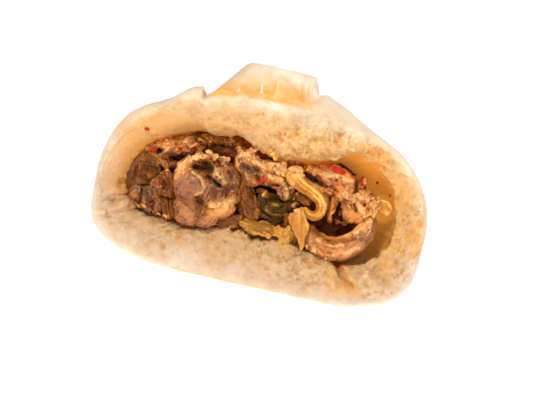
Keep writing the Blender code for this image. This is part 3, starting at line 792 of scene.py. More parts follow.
def dough_rows(turn, sizes):
    """Rows of points from the back round to the hollow's end, and masks of what each row is.

    The masks are crumb, torn dough; wall, the oily inside; fold, the pleats' creases; depth, from
    the outer edge of the torn face to its lip; and skin, the steamed outside.
    """
    dx, dz = np.cos(turn), np.sin(turn)
    skin_curl, mouth_curl = left_to_right(SKIN_EDGE, turn), left_to_right(MOUTH_LIP, turn)
    low_edge = smooth_step(0.1, 0.8, -np.sin(turn)) * smooth_step(-0.9, -0.5, np.cos(turn))
    skin_curl = skin_curl + (BOTTOM_EDGE - skin_curl) * low_edge
    edge = bun_reach(turn, np.full_like(turn, TEAR_Y))
    mouth = mouth_reach(turn)
    ring_walk = np.stack([1600 * mouth * dx, 1600 * mouth * dz, np.full_like(turn, 4)], axis=1)
    ragged, torn = field(ring_walk, 4, 0, 2), field(ring_walk, 2.4, 9)
    top_mouth = smooth_step(0.3, 0.8, np.sin(turn)) * smooth_step(-0.75, -0.4, dx)
    low_mouth = smooth_step(0.1, 0.3, -np.sin(turn)) * smooth_step(0.6, 0.3, dx)
    mouth = mouth + (0.35 + 1.5 * low_mouth) * MM * ragged
    mouth = mouth + (0.15 + 0.7 * top_mouth + 0.6 * low_mouth) * MM * torn
    rim = np.maximum(edge - skin_curl, mouth + mouth_curl)
    edge_y = relief(HOLLOW_X + rim * dx, HOLLOW_Z + rim * dz) + skin_curl + 0.5 * MM * ragged
    rows, masks = [], {name: [] for name in DOUGH_MASKS}

    def add(reach, y, gathered=0.0, **kinds):
        x, z = HOLLOW_X + reach * dx, HOLLOW_Z + reach * dz
        top = smooth_step(WAIST_HEIGHT, WAIST_HEIGHT + 0.8 * DOME_RISE, z)
        rise, crease = gathered_top(x, y, sizes)
        torn_edge = smooth_step(-25 * MM, -20 * MM, x) * (1 - smooth_step(3 * MM, 8 * MM, x))
        rise_of_edge = EDGE_LIFT + 0.8 * MM * ragged + 0.5 * MM * torn
        lift = rise_of_edge * np.exp(-(((y - edge_y) / (1.4 * MM)) ** 2))
        groove = EDGE_GROOVE * np.exp(-(((y - edge_y - 3.4 * MM) / (1.5 * MM)) ** 2))
        z = z + gathered * top * (rise + torn_edge * (lift - groove))
        rows.append(np.stack([x, y, np.maximum(z, 0)], axis=1))
        kinds["fold"] = crease * gathered * top
        for name, values in masks.items():
            values.append(kinds.get(name, 0) * np.ones_like(turn))

    def inset(reach):
        return np.clip((start - reach) / (start - mouth), 0, 1)

    for ring in range(1, SKIN_RINGS + 1):
        angle = (1 - (1 - ring / SKIN_RINGS) ** 1.6) * np.arccos(edge_y / BACK_POLE)
        y = BACK_POLE * np.cos(angle)
        add(bun_reach(turn, y), y, 1.0, skin=1)
    start = bun_reach(turn, edge_y)
    lip = mouth + mouth_curl
    inward = np.maximum(start - skin_curl, lip)
    rolled = LIP_ROLL * smooth_step(0, 4 * MM, inward - lip)
    for ring in range(1, EDGE_RINGS + 1):
        angle = ring / (EDGE_RINGS + 1) * math.pi / 2
        torn_share = float(smooth_step(0.5, 1.3, angle))
        add(start - (start - inward) * (1 - math.cos(angle)), edge_y - skin_curl * math.sin(angle),
            math.cos(angle) ** 2, crumb=torn_share, skin=1 - torn_share,
            depth=torn_share * inset(start - (start - inward) * (1 - math.cos(angle))))
    for ring in range(FACE_RINGS):
        reach = inward + (lip - inward) * ring / (FACE_RINGS - 1)
        roll = rolled * (1 - smooth_step(0, LIP_ROLL_REACH, reach - lip))
        roll = roll + 0.5 * MM * ragged * (1 - smooth_step(0, 3 * MM, inward - reach))
        add(reach, relief(HOLLOW_X + reach * dx, HOLLOW_Z + reach * dz) + roll,
            crumb=1, depth=inset(reach))
    lip_y = relief(HOLLOW_X + lip * dx, HOLLOW_Z + lip * dz) + rolled
    for ring in range(1, LIP_RINGS + 1):
        angle = ring / (LIP_RINGS + 1) * math.pi / 2
        inner = float(smooth_step(0.6, 1.5, angle))
        add(lip - mouth_curl * math.sin(angle), lip_y + mouth_curl * (1 - math.cos(angle)),
            crumb=1 - 0.7 * inner, wall=inner * (0.8 - 0.3 * low_mouth),
            depth=inset(lip - mouth_curl * math.sin(angle)))
    for ring in range(HOLLOW_RINGS):
        share = (ring / HOLLOW_RINGS) ** 1.25
        angle = share * np.pi / 2
        y = lip_y + mouth_curl + (HOLLOW_BACK - lip_y - mouth_curl) * np.sin(angle)
        flare = HOLLOW_FLARE * smooth_step(0, 0.9, np.cos(turn))
        narrowed = mouth - flare * smooth_step(0, FLARE_DEPTH, y - lip_y - mouth_curl)
        add(narrowed * max(math.cos(angle), 0) ** 0.75, y,
            crumb=0.15, wall=min(1.0, 0.8 + 2 * share), depth=1)
    return np.array(rows), {name: np.array(values) for name, values in masks.items()}


def dough_sphere(sizes):
    """A sphere whose rings are drawn out to the bun's skin, torn face and hollow, and its masks."""
    rings = SKIN_RINGS + EDGE_RINGS + FACE_RINGS + LIP_RINGS + HOLLOW_RINGS + 1
    deselect_all()
    bpy.ops.mesh.primitive_uv_sphere_add(segments=COLUMNS, ring_count=rings, radius=1,
                                         rotation=(-math.pi / 2, 0, 0))
    piece = bpy.context.object
    bpy.ops.object.transform_apply(location=False, rotation=True, scale=False)
    sphere = points_of(piece)
    turn = np.arctan2(sphere[:, 2], sphere[:, 0]) % (2 * np.pi)
    column = np.round(turn / (2 * np.pi) * COLUMNS).astype(int) % COLUMNS
    ring = np.round(np.arccos(np.clip(sphere[:, 1], -1, 1)) / np.pi * rings).astype(int)
    steps = np.arange(COLUMNS) * 2 * np.pi / COLUMNS
    rows, kinds = dough_rows(steps + TOP_CROWDING * np.cos(steps), sizes)
    inside = (ring > 0) & (ring < rings)
    spots = np.zeros_like(sphere)
    spots[inside] = rows[ring[inside] - 1, column[inside]]
    spots[ring == 0] = (HOLLOW_X, BACK_POLE, HOLLOW_Z)
    spots[ring == rings] = (HOLLOW_X, HOLLOW_BACK, HOLLOW_Z)
    move_points(piece, spots)
    on_whole_mesh(piece, bpy.ops.mesh.normals_make_consistent, inside=False)
    masks = {}
    for name, mask in kinds.items():
        values = np.full(len(spots), float(name in ("wall", "depth")))
        values[inside] = mask[ring[inside] - 1, column[inside]]
        values[ring == 0] = float(name == "skin")
        masks[name] = values
    return piece, spots, masks


def blots(x, z, places, wobble, core, rim):
    """Ragged oval places: each at its own strength in its core, and fading out to its rim."""
    value = np.zeros(len(x))
    for place in places:
        away = oval(x, z, place) + wobble
        value = np.maximum(value, place[4] * (1 - smooth_step(core, rim, away)))
    return value


def oily_places(spots, masks, wobble, front):
    """How oily each point is, with painted shade at the knot's foot, and how much of that is the greasy
    sides of the mouth.
    """
    x, _, z = spots.T
    oil = blots(x, z, OIL_STAINS, 0.45 * wobble, 0.45, 1.25)
    inner = masks["depth"] + 0.15 * wobble
    left = 0.95 * smooth_step(0.35, 1.0, inner) ** 1.3 * smooth_step(-28 * MM, -35 * MM, x)
    right = 0.85 * smooth_step(0.05, 0.95, inner) * smooth_step(28 * MM, 36 * MM, x)
    upper = 0.6 * smooth_step(0.4, 1, inner) * smooth_step(30 * MM, 34 * MM, z)
    greasy = np.maximum(left * smooth_step(15 * MM, 18 * MM, z), right)
    greasy = np.maximum(greasy, upper * smooth_step(-16 * MM, -23 * MM, x))
    patchy = 0.75 + 0.6 * field(spots, 3.2 * MM, 71.0, 2)
    # Oil soaked into the knot's foot behind the torn edge, standing also as painted shade of the groove
    # there
    knot_foot = KNOT_FOOT + 0.19 * (x + 10 * MM)
    knot_foot_oil_and_shade = masks["skin"] * smooth_step(-21.6 * MM, -18 * MM, x + 0.8 * MM * wobble)
    knot_foot_oil_and_shade = knot_foot_oil_and_shade * (1 - smooth_step(2 * MM, 12 * MM, x))
    knot_foot_oil_and_shade = knot_foot_oil_and_shade * (1 - smooth_step(2 * MM, 6.5 * MM, z - knot_foot + 0.8 * MM * wobble))
    oil = np.maximum(np.maximum(oil, greasy) * np.clip(patchy, 0.25, 1), knot_foot_oil_and_shade) * front
    return np.maximum(oil, 0.85 * closeness(spots, CREASE, 3.2) * front), greasy


def crumb_relief(spots, sizes, rough, open_crumb, greasy, front):
    """How high the torn crumb and the smooth skin stand, and the crumb's grain alone."""
    x, _, z = spots.T
    lumps = field(spots, 6 * MM, 11.0, 2)
    flakes = field(stretched(spots, (0.5, 0, 1), 1.8), 1.9 * MM, 61.0, 2)
    warped = spots + 0.5 * MM * field(spots, 1.5 * MM, 51.0)[:, None]
    pits = np.minimum(cells(warped, 1.25 * MM, 5.0), 0.9)
    fine = field(spots, 0.8 * MM, 21.0, 2)
    soft = field(spots, 9 * MM, 41.0, 2)
    grain = 1.3 * flakes + (pits - 0.45) + 0.5 * fine
    clods = 1 - 2 * np.abs(field(spots, 3.4 * MM, 81.0, 2))
    height = rough * (sizes.crumb_lumps * lumps + sizes.crumb_grain * grain * (0.25 + 0.75 * open_crumb))
    height += rough * sizes.crumb_clods * clods * (0.35 + 0.65 * smooth_step(24 * MM, 34 * MM, x))
    height += 0.45 * MM * field(spots, 1.7 * MM, 91.0, 3) * greasy * front
    height += (1 - rough) * 0.32 * MM * soft
    return height * np.where(z < 0.6 * MM, 0.15, 1), grain


def torn_flap(spots, skin):
    """A flap of torn skin at the upper left, 1 where it stands at its full height."""
    x, y, z = spots.T
    torn_side = x + 0.18 * np.maximum(y, 0) + 0.3 * MM * field(spots, 3 * MM, 101.0)
    flap = np.clip((x + 31 * MM) / (8.6 * MM), 0, 1) * (1 - smooth_step(-22 * MM, -21.4 * MM, torn_side))
    return flap * smooth_step(30 * MM, 40 * MM, z) * (1 - smooth_step(6 * MM, 14 * MM, y)) * skin


def build_dough(sizes, colours):
    """The torn dough: its drawn-out sphere, the relief on it, and the marks for its material."""
    piece, spots, masks = dough_sphere(sizes)
    crumb, wall, fold, depth, skin = (masks[name] for name in DOUGH_MASKS)
    x, y, z = spots.T
    front = 1 - smooth_step(2 * MM, 12 * MM, y)
    wobble = field(spots, 5 * MM, 3.0, 3)
    rough = crumb
    for spot in SMOOTH_PLACES:
        smooth = 1 - smooth_step(0.6, 1.15, oval(x, z, spot) + 0.15 * wobble)
        rough = rough * (1 - 0.7 * smooth * front)
    open_crumb = np.maximum(0.3, blots(x, z, OPEN_PLACES, 0.3 * wobble, 0.5, 1.2))
    open_crumb = open_crumb * smooth_step(0.3, 0.8, rough)
    oil, greasy = oily_places(spots, masks, wobble, front)
    height, grain = crumb_relief(spots, sizes, rough, open_crumb, greasy, front)
    height += FLAP_HEIGHT * torn_flap(spots, skin)
    for amount, width, *path in DOUGH_STROKES:
        height += amount * MM * closeness(spots, path, width) * front
    # Painted highlights on the knot, on lines raised a little
    glint = np.zeros(len(spots))
    for amount, width, *path in KNOT_GLINTS:
        glint = np.maximum(glint, amount * closeness(spots, path, width) * front * skin)
    height += 0.12 * MM * glint

    # The pore mask: painted shade in the grain's hollows, in the marks below and in the pores made next,
    # with the brown specks among the marks
    pore = 0.3 * open_crumb * smooth_step(0.3, -0.6, grain)
    for strength, width, *path in DOUGH_MARKS:
        pore = np.maximum(pore, strength * closeness(spots, path, width) * front)
    chosen = random.Random(7)
    candidates = np.nonzero((rough > 0.6) & (wall < 0.3) & (y < 0) & (z > 1.5 * MM))[0]
    tree = kdtree.KDTree(len(spots))
    for i, spot in enumerate(spots):
        tree.insert(spot, i)
    tree.balance()
    for _ in range(sizes.pores):
        middle = candidates[chosen.randrange(len(candidates))]
        radius = MM * (0.25 + 0.45 * chosen.random() ** 3) * (0.6 + 0.6 * open_crumb[middle])
        deep = (0.3 + 0.6 * chosen.random()) * radius
        for _, i, away in tree.find_range(spots[middle], radius):
            dip = 1 - (away / radius) ** 2
            height[i] -= deep * dip * crumb[i]
            pore[i] = max(pore[i], dip * 0.6 * crumb[i])
    spots = spots + normals_of(piece) * height[:, None]
    spots[:, 2] = np.maximum(spots[:, 2], 0)
    move_points(piece, spots)
    marks = {"crumb": crumb, "oil": oil, "wall": wall, "pore": pore,
             "fold": fold, "depth": depth, "open": open_crumb, "glint": glint}
    for name, values in marks.items():
        mark(piece, name, values)
    return settle(piece, "bun_dough", finishes(colours)["steamed_dough"], "dough", "dough")


# ---------------------------------------------------------------- shapes of the filling


def ball(spot, detail=4):
    """A ball at x, y, z and radius in mm, or with three half sizes and a tilt in the picture's plane."""
    sizes = spot[3:6] if len(spot) > 4 else (spot[3],) * 3
    deselect_all()
    bpy.ops.mesh.primitive_ico_sphere_add(subdivisions=detail, radius=1)
    made = bpy.context.object
    made.matrix_world = (
        Matrix.Translation(Vector(spot[:3]) * MM)
        @ Matrix.Rotation(math.radians(-spot[6] if len(spot) > 6 else 0), 4, "Y")
        @ Matrix.Diagonal((*(size * MM for size in sizes), 1))
    )
    bpy.ops.object.transform_apply(location=True, rotation=True, scale=True)
    return made


def scraps(path, count, sizes, spread, seed):
    """Torn scraps along a path of x, y, z in mm: flattened balls, each tilted its own way."""
    chosen = random.Random(seed)
    spots = spline_at(path, np.array([chosen.random() for _ in range(count)]))
    return [
        (*(value + chosen.uniform(-spread, spread) for value in spot),
         chosen.uniform(*sizes), chosen.uniform(*sizes), 0.55 * chosen.uniform(*sizes),
         chosen.uniform(-70, 70))
        for spot in spots
    ]


def lump(knobs, runs, voxel=0.22, smooth=4):
    """Overlapping balls melted into one lump, with runs of ragged scraps on it."""
    balls = [ball(spot) for spot in knobs]
    balls += [ball(spot, 2) for run in runs for spot in scraps(*run)]
    piece = join(balls)
    apply_modifier(piece, "REMESH", mode="VOXEL", voxel_size=voxel * MM)
    apply_modifier(piece, "SMOOTH", factor=0.5, iterations=smooth)
    return piece


def carve(piece, strokes):
    """Raise or press in the side that shows, by mm, over a half width in mm, along x, z paths."""
    spots, ways = points_of(piece), normals_of(piece)
    facing = smooth_step(-0.1, 0.5, -ways[:, 1])
    for height, width, *path in strokes:
        spots[:, 1] -= height * MM * facing * closeness(spots, path, width)
    move_points(piece, spots)


def tint(piece, name, strokes, seed=0.0, ragged=0.5):
    """Mark where a colour lies: how strong, over a half width in mm, along x, z paths."""
    spots = points_of(piece)
    for axis in (0, 2):
        spots[:, axis] += ragged * MM * field(points_of(piece), 1.1 * MM, seed + 7 * axis, 2)
    value = np.zeros(len(spots))
    for strength, width, *path in strokes:
        value = np.maximum(value, strength * closeness(spots, path, width))
    mark(piece, name, value)


def roughen(piece, seed, fibre, coarse, fibrous, fine):
    """Torn meat: lumps, fibres and grit, by these heights in mm, marked for the material."""
    spots = points_of(piece)
    lumps = field(spots, 2.4 * MM, seed, 3)
    strands = 1 - 2 * np.abs(field(stretched(spots, fibre, 3), 0.9 * MM, seed + 9, 2))
    grit = field(spots, 0.6 * MM, seed + 17, 2)
    height = coarse * lumps + 1.3 * fibrous * (strands - 0.4) + 1.5 * fine * grit
    raise_points(piece, height)
    mark(piece, "height", 0.5 + height / (1.6 * (coarse + fibrous)))


def swept(path, segments, rings, ends):
    """A ball drawn out along a path of x, y, z, half width and half depth in millimetres.

    Its ends round off over this share of its length. The way round the strip and the place along it
    are given for each point too.
    """
    deselect_all()
    bpy.ops.mesh.primitive_uv_sphere_add(segments=segments, ring_count=rings, radius=1)
    piece = bpy.context.object
    shape = points_of(piece)
    place = 1 - np.arccos(np.clip(shape[:, 2], -1, 1)) / np.pi
    around = np.arctan2(shape[:, 1], shape[:, 0])
    path = np.array(path, float)
    spine, size = spline_at(path[:, :3], place) * MM, spline_at(path[:, 3:5], place) * MM
    step = 0.02
    ahead = (spline_at(path[:, :3], np.minimum(place + step, 1))
             - spline_at(path[:, :3], np.maximum(place - step, 0)))
    side = np.stack([ahead[:, 2], np.zeros(len(ahead)), -ahead[:, 0]], axis=1)
    side /= np.maximum(np.linalg.norm(side, axis=1), 1e-12)[:, None]
    edge = np.minimum(place, 1 - place)
    round_off = np.sqrt(np.clip(1 - (1 - np.minimum(edge / ends, 1)) ** 2, 0, 1))
    spots = spine + side * (size[:, 0] * round_off * np.cos(around))[:, None]
    spots[:, 1] += size[:, 1] * round_off * np.sin(around)
    move_points(piece, spots)
    on_whole_mesh(piece, bpy.ops.mesh.normals_make_consistent, inside=False)
    return piece, around, place


def plate(outline, y, thickness, ragged, seed, bends):
    """A flat leaf at depth y with a torn edge through these x, z in mm, bent forwards along paths."""
    edge = closed_spline(outline, 10)
    edge = edge + ragged * np.stack(
        [field(np.insert(edge, 1, 0, axis=1), 0.7, seed + turn, 2) for turn in (0.0, 5.0)], axis=1)
    deselect_all()
    bpy.ops.mesh.primitive_circle_add(vertices=len(edge), radius=1, fill_type="NGON",
                                      rotation=(math.pi / 2, 0, 0))
    piece = bpy.context.object
    bpy.ops.object.transform_apply(location=False, rotation=True, scale=False)
    move_points(piece, np.insert(edge, 1, y, axis=1) * MM)
    apply_modifier(piece, "SOLIDIFY", thickness=thickness * MM, offset=0)
    apply_modifier(piece, "REMESH", mode="VOXEL", voxel_size=0.18 * MM)
    apply_modifier(piece, "SMOOTH", factor=0.5, iterations=3)
    spots = points_of(piece)
    for forward, width, *path in bends:
        spots[:, 1] -= forward * MM * closeness(spots, path, width)
    move_points(piece, spots)
    return piece


def wrinkle(piece, seed, fibre, size, height, fine=0.06):
    """Soft wrinkles that run with a leaf's veins, their size and height in mm."""
    spots = points_of(piece)
    veins = field(stretched(spots, fibre, 3), size * MM, seed, 3)
    grit = field(spots, 0.5 * MM, seed + 3, 2)
    raise_points(piece, height * veins + fine * grit)
    mark(piece, "height", 0.5 + 0.6 * veins + 0.15 * grit)


def rib(piece, around, place, seed, ribs, depth, soft):
    """Fibres that run the length of a cabbage strip, and soft wrinkles, by these heights in mm."""
    q = np.stack([np.cos(around), np.sin(around), place * 1.5], axis=1) * ribs / 2.2
    fibres = np.array([noise.fractal(Vector((*p[:2], p[2] + seed)), 0.9, 2.1, 3) for p in q])
    wrinkles = field(points_of(piece), 1.8 * MM, seed, 3)
    raise_points(piece, 2 * depth * fibres + soft * wrinkles)
    mark(piece, "height", 0.5 + 0.7 * fibres + 0.25 * wrinkles)


def furrow(piece, around, place):
    """Fibres that run the length of a slice of meat, with lumps and grit."""
    spots = points_of(piece)
    fibres = field(np.stack([around * 1.6, place * 6, 0 * place], axis=1), 1.0, 2.0, 3)
    lumps, grit = field(spots, 2.2 * MM, 33.0, 3), field(spots, 0.6 * MM, 35.0, 2)
    height = 0.32 * fibres + 0.25 * lumps + 0.1 * grit
    raise_points(piece, height)
    mark(piece, "height", 0.5 + 0.9 * height)


# ---------------------------------------------------------------- pieces of the filling

# The larger pieces, all in millimetres. A ball is x, y, z and a radius, or three half sizes and a
# tilt; a run of scraps is a path, how many, their sizes, their spread and a seed; a spine is x, y, z,
# half width and half depth; an outline is x, z. Carved strokes and bends are a height, a half width
# and a path of x, z; tints are a seed, how ragged they are, and strokes with a strength. The other
# rows are what a function takes, in its own order: melt goes to lump, mesh to swept, flat to plate,
# rough to roughen, ribs to rib and veins to wrinkle.
# In these tables, dark tints are painted shade in carved hollows and over pieces deep in the hollow; pale
# tints are partly the pieces' own pale edges and fibre and partly painted highlights and glints
PORK = {
    # The largest chunk, with a flat cut face, a crumbly rind and a glazed lobe
    "pork_chunk_left": dict(
        look="braised_pork", slot="pork", melt=dict(voxel=0.2, smooth=3),
        rough=(3, (0.5, 0, 1), 0.22, 0.16, 0.1),
        balls=(
            (-19.6, -5.4, 24, 5.2, 5.4, 7, 12), (-15, -4.6, 25, 6.6, 6, 7.6, 0), (-11, -4.4, 27, 4.4),
            (-18, -6, 16.8, 5.2, 5, 4.2, -12), (-19, -6.6, 14, 3.4, 3, 1.6, -8), (-9.4, -4.4, 24.4, 3),
            (-12.6, -5, 20, 4.4), (-10.6, -8.6, 19, 4.4, 3.8, 2.6, 22), (-7.6, -8.6, 22.4, 1.7),
            (-13.6, -8, 15.6, 3.2, 3.4, 2.4, 24)),
        scraps=(
            (((-24, -7.6, 26), (-22.6, -8.6, 29), (-20, -9, 31), (-17, -9, 32.8), (-13.6, -8.6, 32.2),
              (-10.6, -7, 31.8)), 46, (0.5, 1.3), 0.7, 3),
            (((-13.6, -10.4, 28.6), (-12, -10.6, 27.4), (-10.8, -10, 26.4)), 14, (0.3, 0.8), 0.4, 4),
            (((-14.4, -9.4, 31), (-12, -9, 30.6), (-10.4, -8.4, 29.6)), 10, (0.4, 0.8), 0.5, 5)),
        carved=(
            (-1.6, 4.4, (-20.6, 26.6), (-20.2, 22)),
            (1.5, 1, (-20.6, 27.6), (-18.6, 26.8), (-17, 25.8), (-15.8, 24.2), (-16.2, 22.4),
             (-17.8, 21.2)), (-3.2, 1.5, (-19.4, 28.4), (-17.4, 28.2)),
            (-3.4, 1.9, (-17.2, 29.8), (-15.6, 28.6)), (-2.6, 1, (-15.6, 26.8), (-13.6, 25.8), (-12, 25)),
            (-1.3, 1.7, (-16.6, 20.8), (-15.6, 18.4), (-15, 16.4)),
            (0.9, 0.8, (-15, 26.2), (-13.4, 25), (-12.2, 24.4)), (-1.2, 2.4, (-13, 22.8), (-9.4, 24.6)),
            (0.7, 0.7, (-13.6, 19.6), (-12, 20.8), (-9.6, 21.4), (-7.4, 21.2)),
            (-0.8, 0.6, (-13.4, 18.4), (-11.4, 19), (-9.4, 19.8)), (0.5, 0.8, (-12.6, 17.2), (-9.8, 17.8)),
            (-1, 1.2, (-10.4, 29.6), (-9, 27.4)), (0.6, 0.8, (-22.8, 21), (-21.4, 18.4), (-19, 17.4)),
            (-0.7, 0.9, (-21.4, 19.4), (-19, 18.6), (-17.4, 17.4)), (0.8, 0.7, (-24, 24.4), (-23.4, 27))),
        tints=(
            ("pale", 2, 0.5,
             (1, 1.5, (-24.2, 25), (-23.2, 28), (-21, 30.4), (-18.6, 31.8), (-16.8, 33.6), (-13.2, 33),
              (-10.2, 32.6)),
             (1, 1, (-20.4, 27.5), (-18.6, 26.8), (-17, 25.8), (-15.8, 24.2), (-16.2, 22.6), (-17.8, 21.4)),
             (0.9, 0.8, (-14.6, 26), (-13, 25), (-12, 24.6)),
             (0.9, 1.4, (-13.8, 28.8), (-12.2, 27.6), (-10.8, 26.4)),
             (0.9, 2.4, (-12.4, 19.6), (-9.6, 19.8)),
             (0.8, 1.2, (-13.4, 19.8), (-10.4, 21.4), (-7.4, 21.6)), (0.55, 1.6, (-7.4, 22.4)),
             (0.4, 1, (-14.6, 31), (-11, 30.8))),
            ("amber", 5, 0.5, (0.5, 2.4, (-20, 16.6), (-17.6, 14.6)),
             (0.8, 3.4, (-12.4, 17.4), (-8.6, 19.6)),
             (0.7, 1.8, (-24, 24), (-22.6, 28), (-19.6, 30.8), (-15, 32)),
             (0.5, 1.4, (-16.6, 24), (-18, 21.6))),
            ("dark", 8, 0.3, (1, 1.2, (-19.6, 28.4), (-17.6, 28.4)), (1, 1.9, (-17.2, 29.8), (-15.4, 28.6)),
             (1, 0.9, (-15.6, 26.8), (-13.6, 25.8), (-12, 25)),
             (0.5, 1.6, (-16.8, 20.6), (-15.6, 18.4), (-15, 16.8)), (0.5, 2, (-9.4, 28.4), (-8.2, 25.4)),
             # Broad painted shade over the chunk
             (0.4, 2, (-12.6, 23.4), (-10, 24.4)), (0.38, 6.5, (-20, 23), (-13, 24)),
             (0.2, 3, (-20, 16), (-15, 14))))),
    # The narrower chunk in the middle, with a crumbly ridge on top
    "pork_chunk_middle": dict(
        look="braised_pork", slot="pork", melt=dict(voxel=0.2, smooth=3),
        rough=(7, (1, 0, -0.3), 0.22, 0.14, 0.1),
        balls=(
            (-0.6, -5, 31, 4.7, 4.6, 3.6, 0), (-6.6, -5.4, 32.4, 3.1), (-3.6, -5.6, 30.2, 3.6),
            (2.8, -5.6, 30.8, 3.5), (5.8, -5.4, 28.6, 2.6, 3.2, 3.6, 0), (6.4, -5, 31.6, 2.4),
            (2.6, -7, 34, 1.7, 1.6, 1, -8)),
        scraps=(
            (((-9, -7.8, 34.2), (-6.6, -8.4, 35), (-4, -8.6, 33.8), (-1, -8.6, 33.6), (2.4, -8.4, 33.4),
              (6, -8, 32)), 44, (0.5, 1.3), 0.8, 8),
            (((-6, -8, 30), (-4.4, -9, 28.4), (-2, -9.2, 27.8)), 16, (0.4, 1), 0.6, 9),
            (((0.4, -9, 30.6), (2.4, -9, 30), (4.4, -9, 30.4)), 18, (0.4, 0.9), 0.6, 10)),
        carved=(
            (-1.6, 1.9, (-7, 31.2), (-4.6, 30.8), (-3.4, 31.6)), (-1.2, 1, (-2.8, 29.6), (-1, 28.4)),
            (-1.4, 0.9, (1.2, 28.6), (3.2, 28.8)), (0.7, 0.8, (4.8, 29.8), (6.4, 28), (6.6, 25.8)),
            (0.8, 0.8, (-6.8, 34), (-4, 33), (-1, 32.6), (2, 32.6)), (-0.8, 0.6, (-0.6, 31.6), (2.4, 31.6)),
            (-0.9, 0.8, (4.4, 27.2), (5, 25.8)), (0.6, 0.7, (-5.6, 29.4), (-4.6, 27.8))),
        tints=(
            ("pale", 3, 0.5,
             (1, 1.7, (-8.6, 34.6), (-6.4, 34.8), (-4, 33.4), (-1, 33.2), (2.4, 33.8), (5.4, 32.6),
              (7, 31.4)), (0.8, 1, (0.4, 30.8), (2.4, 30.6), (4.4, 30.6)),
             (0.7, 0.8, (-6, 30.4), (-5, 28.4)), (0.75, 1.2, (5, 29.4), (6.5, 27), (6.4, 25.4)),
             (0.8, 1, (-9, 33), (-8.6, 31.4))),
            ("amber", 6, 0.5, (0.8, 1.6, (-7, 33.4), (-2, 32.2), (4.6, 32)), (0.7, 1.6, (1, 30), (4, 29.6)),
             (0.6, 1.4, (-8.8, 32.6), (-8, 30.8))),
            ("dark", 9, 0.3, (0.75, 1.7, (-7, 31.4), (-4.8, 31), (-3.2, 31.6)),
             (0.9, 0.8, (-1.6, 27.2), (1.6, 27.8)), (0.6, 0.8, (1.6, 28.6), (3.4, 28.6)),
             (0.5, 1, (-3, 30), (-1.6, 28.6))))),
    # The curled slice at the lower right, with a pale inner rim
    "pork_slice_curled": dict(
        look="braised_pork", slot="pork", mesh=(110, 230, 0.08),
        spine=(
            (14.4, -6, 20, 1.6, 3), (15.2, -6.6, 17.2, 2.6, 3.8), (18, -6.8, 15.4, 3.1, 4.2),
            (21.6, -6.8, 15, 3.3, 4.4), (25.2, -6.8, 16.4, 3.3, 4.4), (28.2, -6.6, 19.4, 3, 4.2),
            (29.8, -6.2, 23, 2.2, 3.6), (30.2, -5.8, 26.6, 1.3, 2.6)),
        carved=(
            (0.9, 0.8, (17, 17.4), (18.8, 16.2), (21.4, 16.4), (24, 17.4), (26.4, 19)),
            (-1.1, 1, (18, 18.6), (20.4, 17.8), (23, 18.6), (25.4, 20)),
            (0.9, 1, (20.4, 19.8), (24, 19.9), (26.8, 22), (28.6, 24.8)),
            (-0.7, 0.8, (16, 16), (18, 14.6), (21, 14.2)), (-0.6, 0.7, (25, 16), (28, 18.4)),
            (0.5, 0.7, (19, 13.4), (24, 14)), (-0.5, 0.6, (28.6, 19.6), (30, 22.6))),
        tints=(
            ("pale", 6, 0.5, (1, 1.7, (19.6, 19.8), (22, 19.7), (24.4, 20.2)),
             (1, 2.6, (26, 21.6), (28, 23.4), (28.8, 25.6)),
             (0.75, 0.8, (17, 17.4), (18.8, 16.2), (21.4, 16.4), (24, 17.4)),
             (0.6, 1.2, (15.8, 15.6), (17.4, 14.4)), (0.35, 1.6, (29.6, 24), (30.6, 27)),
             (0.6, 1.2, (22, 14), (25, 15), (28, 17.4))),
            ("amber", 9, 0.5, (0.8, 1.6, (18.6, 18.6), (21, 18), (25, 19.4)),
             (0.8, 2.4, (20, 20), (25, 20.6), (29, 24)), (0.55, 4, (17, 15.6), (22, 14.6), (27, 17.6))),
            ("dark", 12, 0.3, (0.4, 1.2, (17, 19.4), (19, 19.2)), (0.35, 1.4, (18, 12.4), (24, 12.6))))),
    # The small dark chunk low at the left
    "pork_chunk_low_left": dict(
        look="braised_pork", slot="pork", melt={}, rough=(23, (0.2, 0, 1), 0.3, 0.2, 0.12),
        balls=(
            (-31, -2, 17, 3.2, 3.4, 3.2, 0), (-34, -1.6, 17.2, 2.6, 2.8, 3, 10), (-28, -2, 17.4, 2.8),
            (-29, -2, 21, 2.2, 2.6, 2.4, 0), (-27.4, -2.6, 15.2, 2), (-30.6, -2.6, 14.8, 2.6, 2.4, 1.6, 0)),
        scraps=(
            (((-34.6, -4, 17.8), (-31.4, -4.8, 17), (-28.4, -4.8, 18.6), (-28.6, -4.4, 21.4)), 34,
             (0.4, 1.2), 0.9, 5),
            (((-33.6, -4, 14.8), (-30, -4.6, 14), (-26.4, -4.8, 13.8)), 20, (0.4, 1), 0.5, 7)),
        carved=(
            (-1.2, 0.7, (-32.6, 18.8), (-32.2, 15)), (-1.2, 0.8, (-29.6, 17.6), (-29, 15.4)),
            (0.7, 0.7, (-31.2, 18.4), (-30.6, 15.6)), (-0.9, 0.6, (-29.8, 20.2), (-28, 19.2)),
            (-0.8, 0.5, (-34.8, 16), (-32.8, 15.2))),
        tints=(
            ("pale", 7, 0.5, (0.6, 1, (-31.6, 18.4), (-31, 16)), (0.5, 1.2, (-29.4, 21.6), (-28, 19.4)),
             (0.6, 1.2, (-35, 17.6), (-34, 15.6))),
            ("amber", 10, 0.5, (0.8, 2.4, (-34.4, 17), (-32.8, 15)), (0.5, 2, (-28.6, 21), (-28, 17))),
            ("dark", 13, 0.5, (0.9, 1, (-32.6, 18.8), (-32.6, 15)), (0.9, 0.9, (-29.8, 17.6), (-28.6, 15)),
             # Broad painted shade over the chunk, which lies deep in the hollow
             (0.8, 0.8, (-34, 13.8), (-27, 13.4)), (0.62, 9, (-31, 18))))),
    # The small dark chunk high at the left
    "pork_chunk_upper_left": dict(
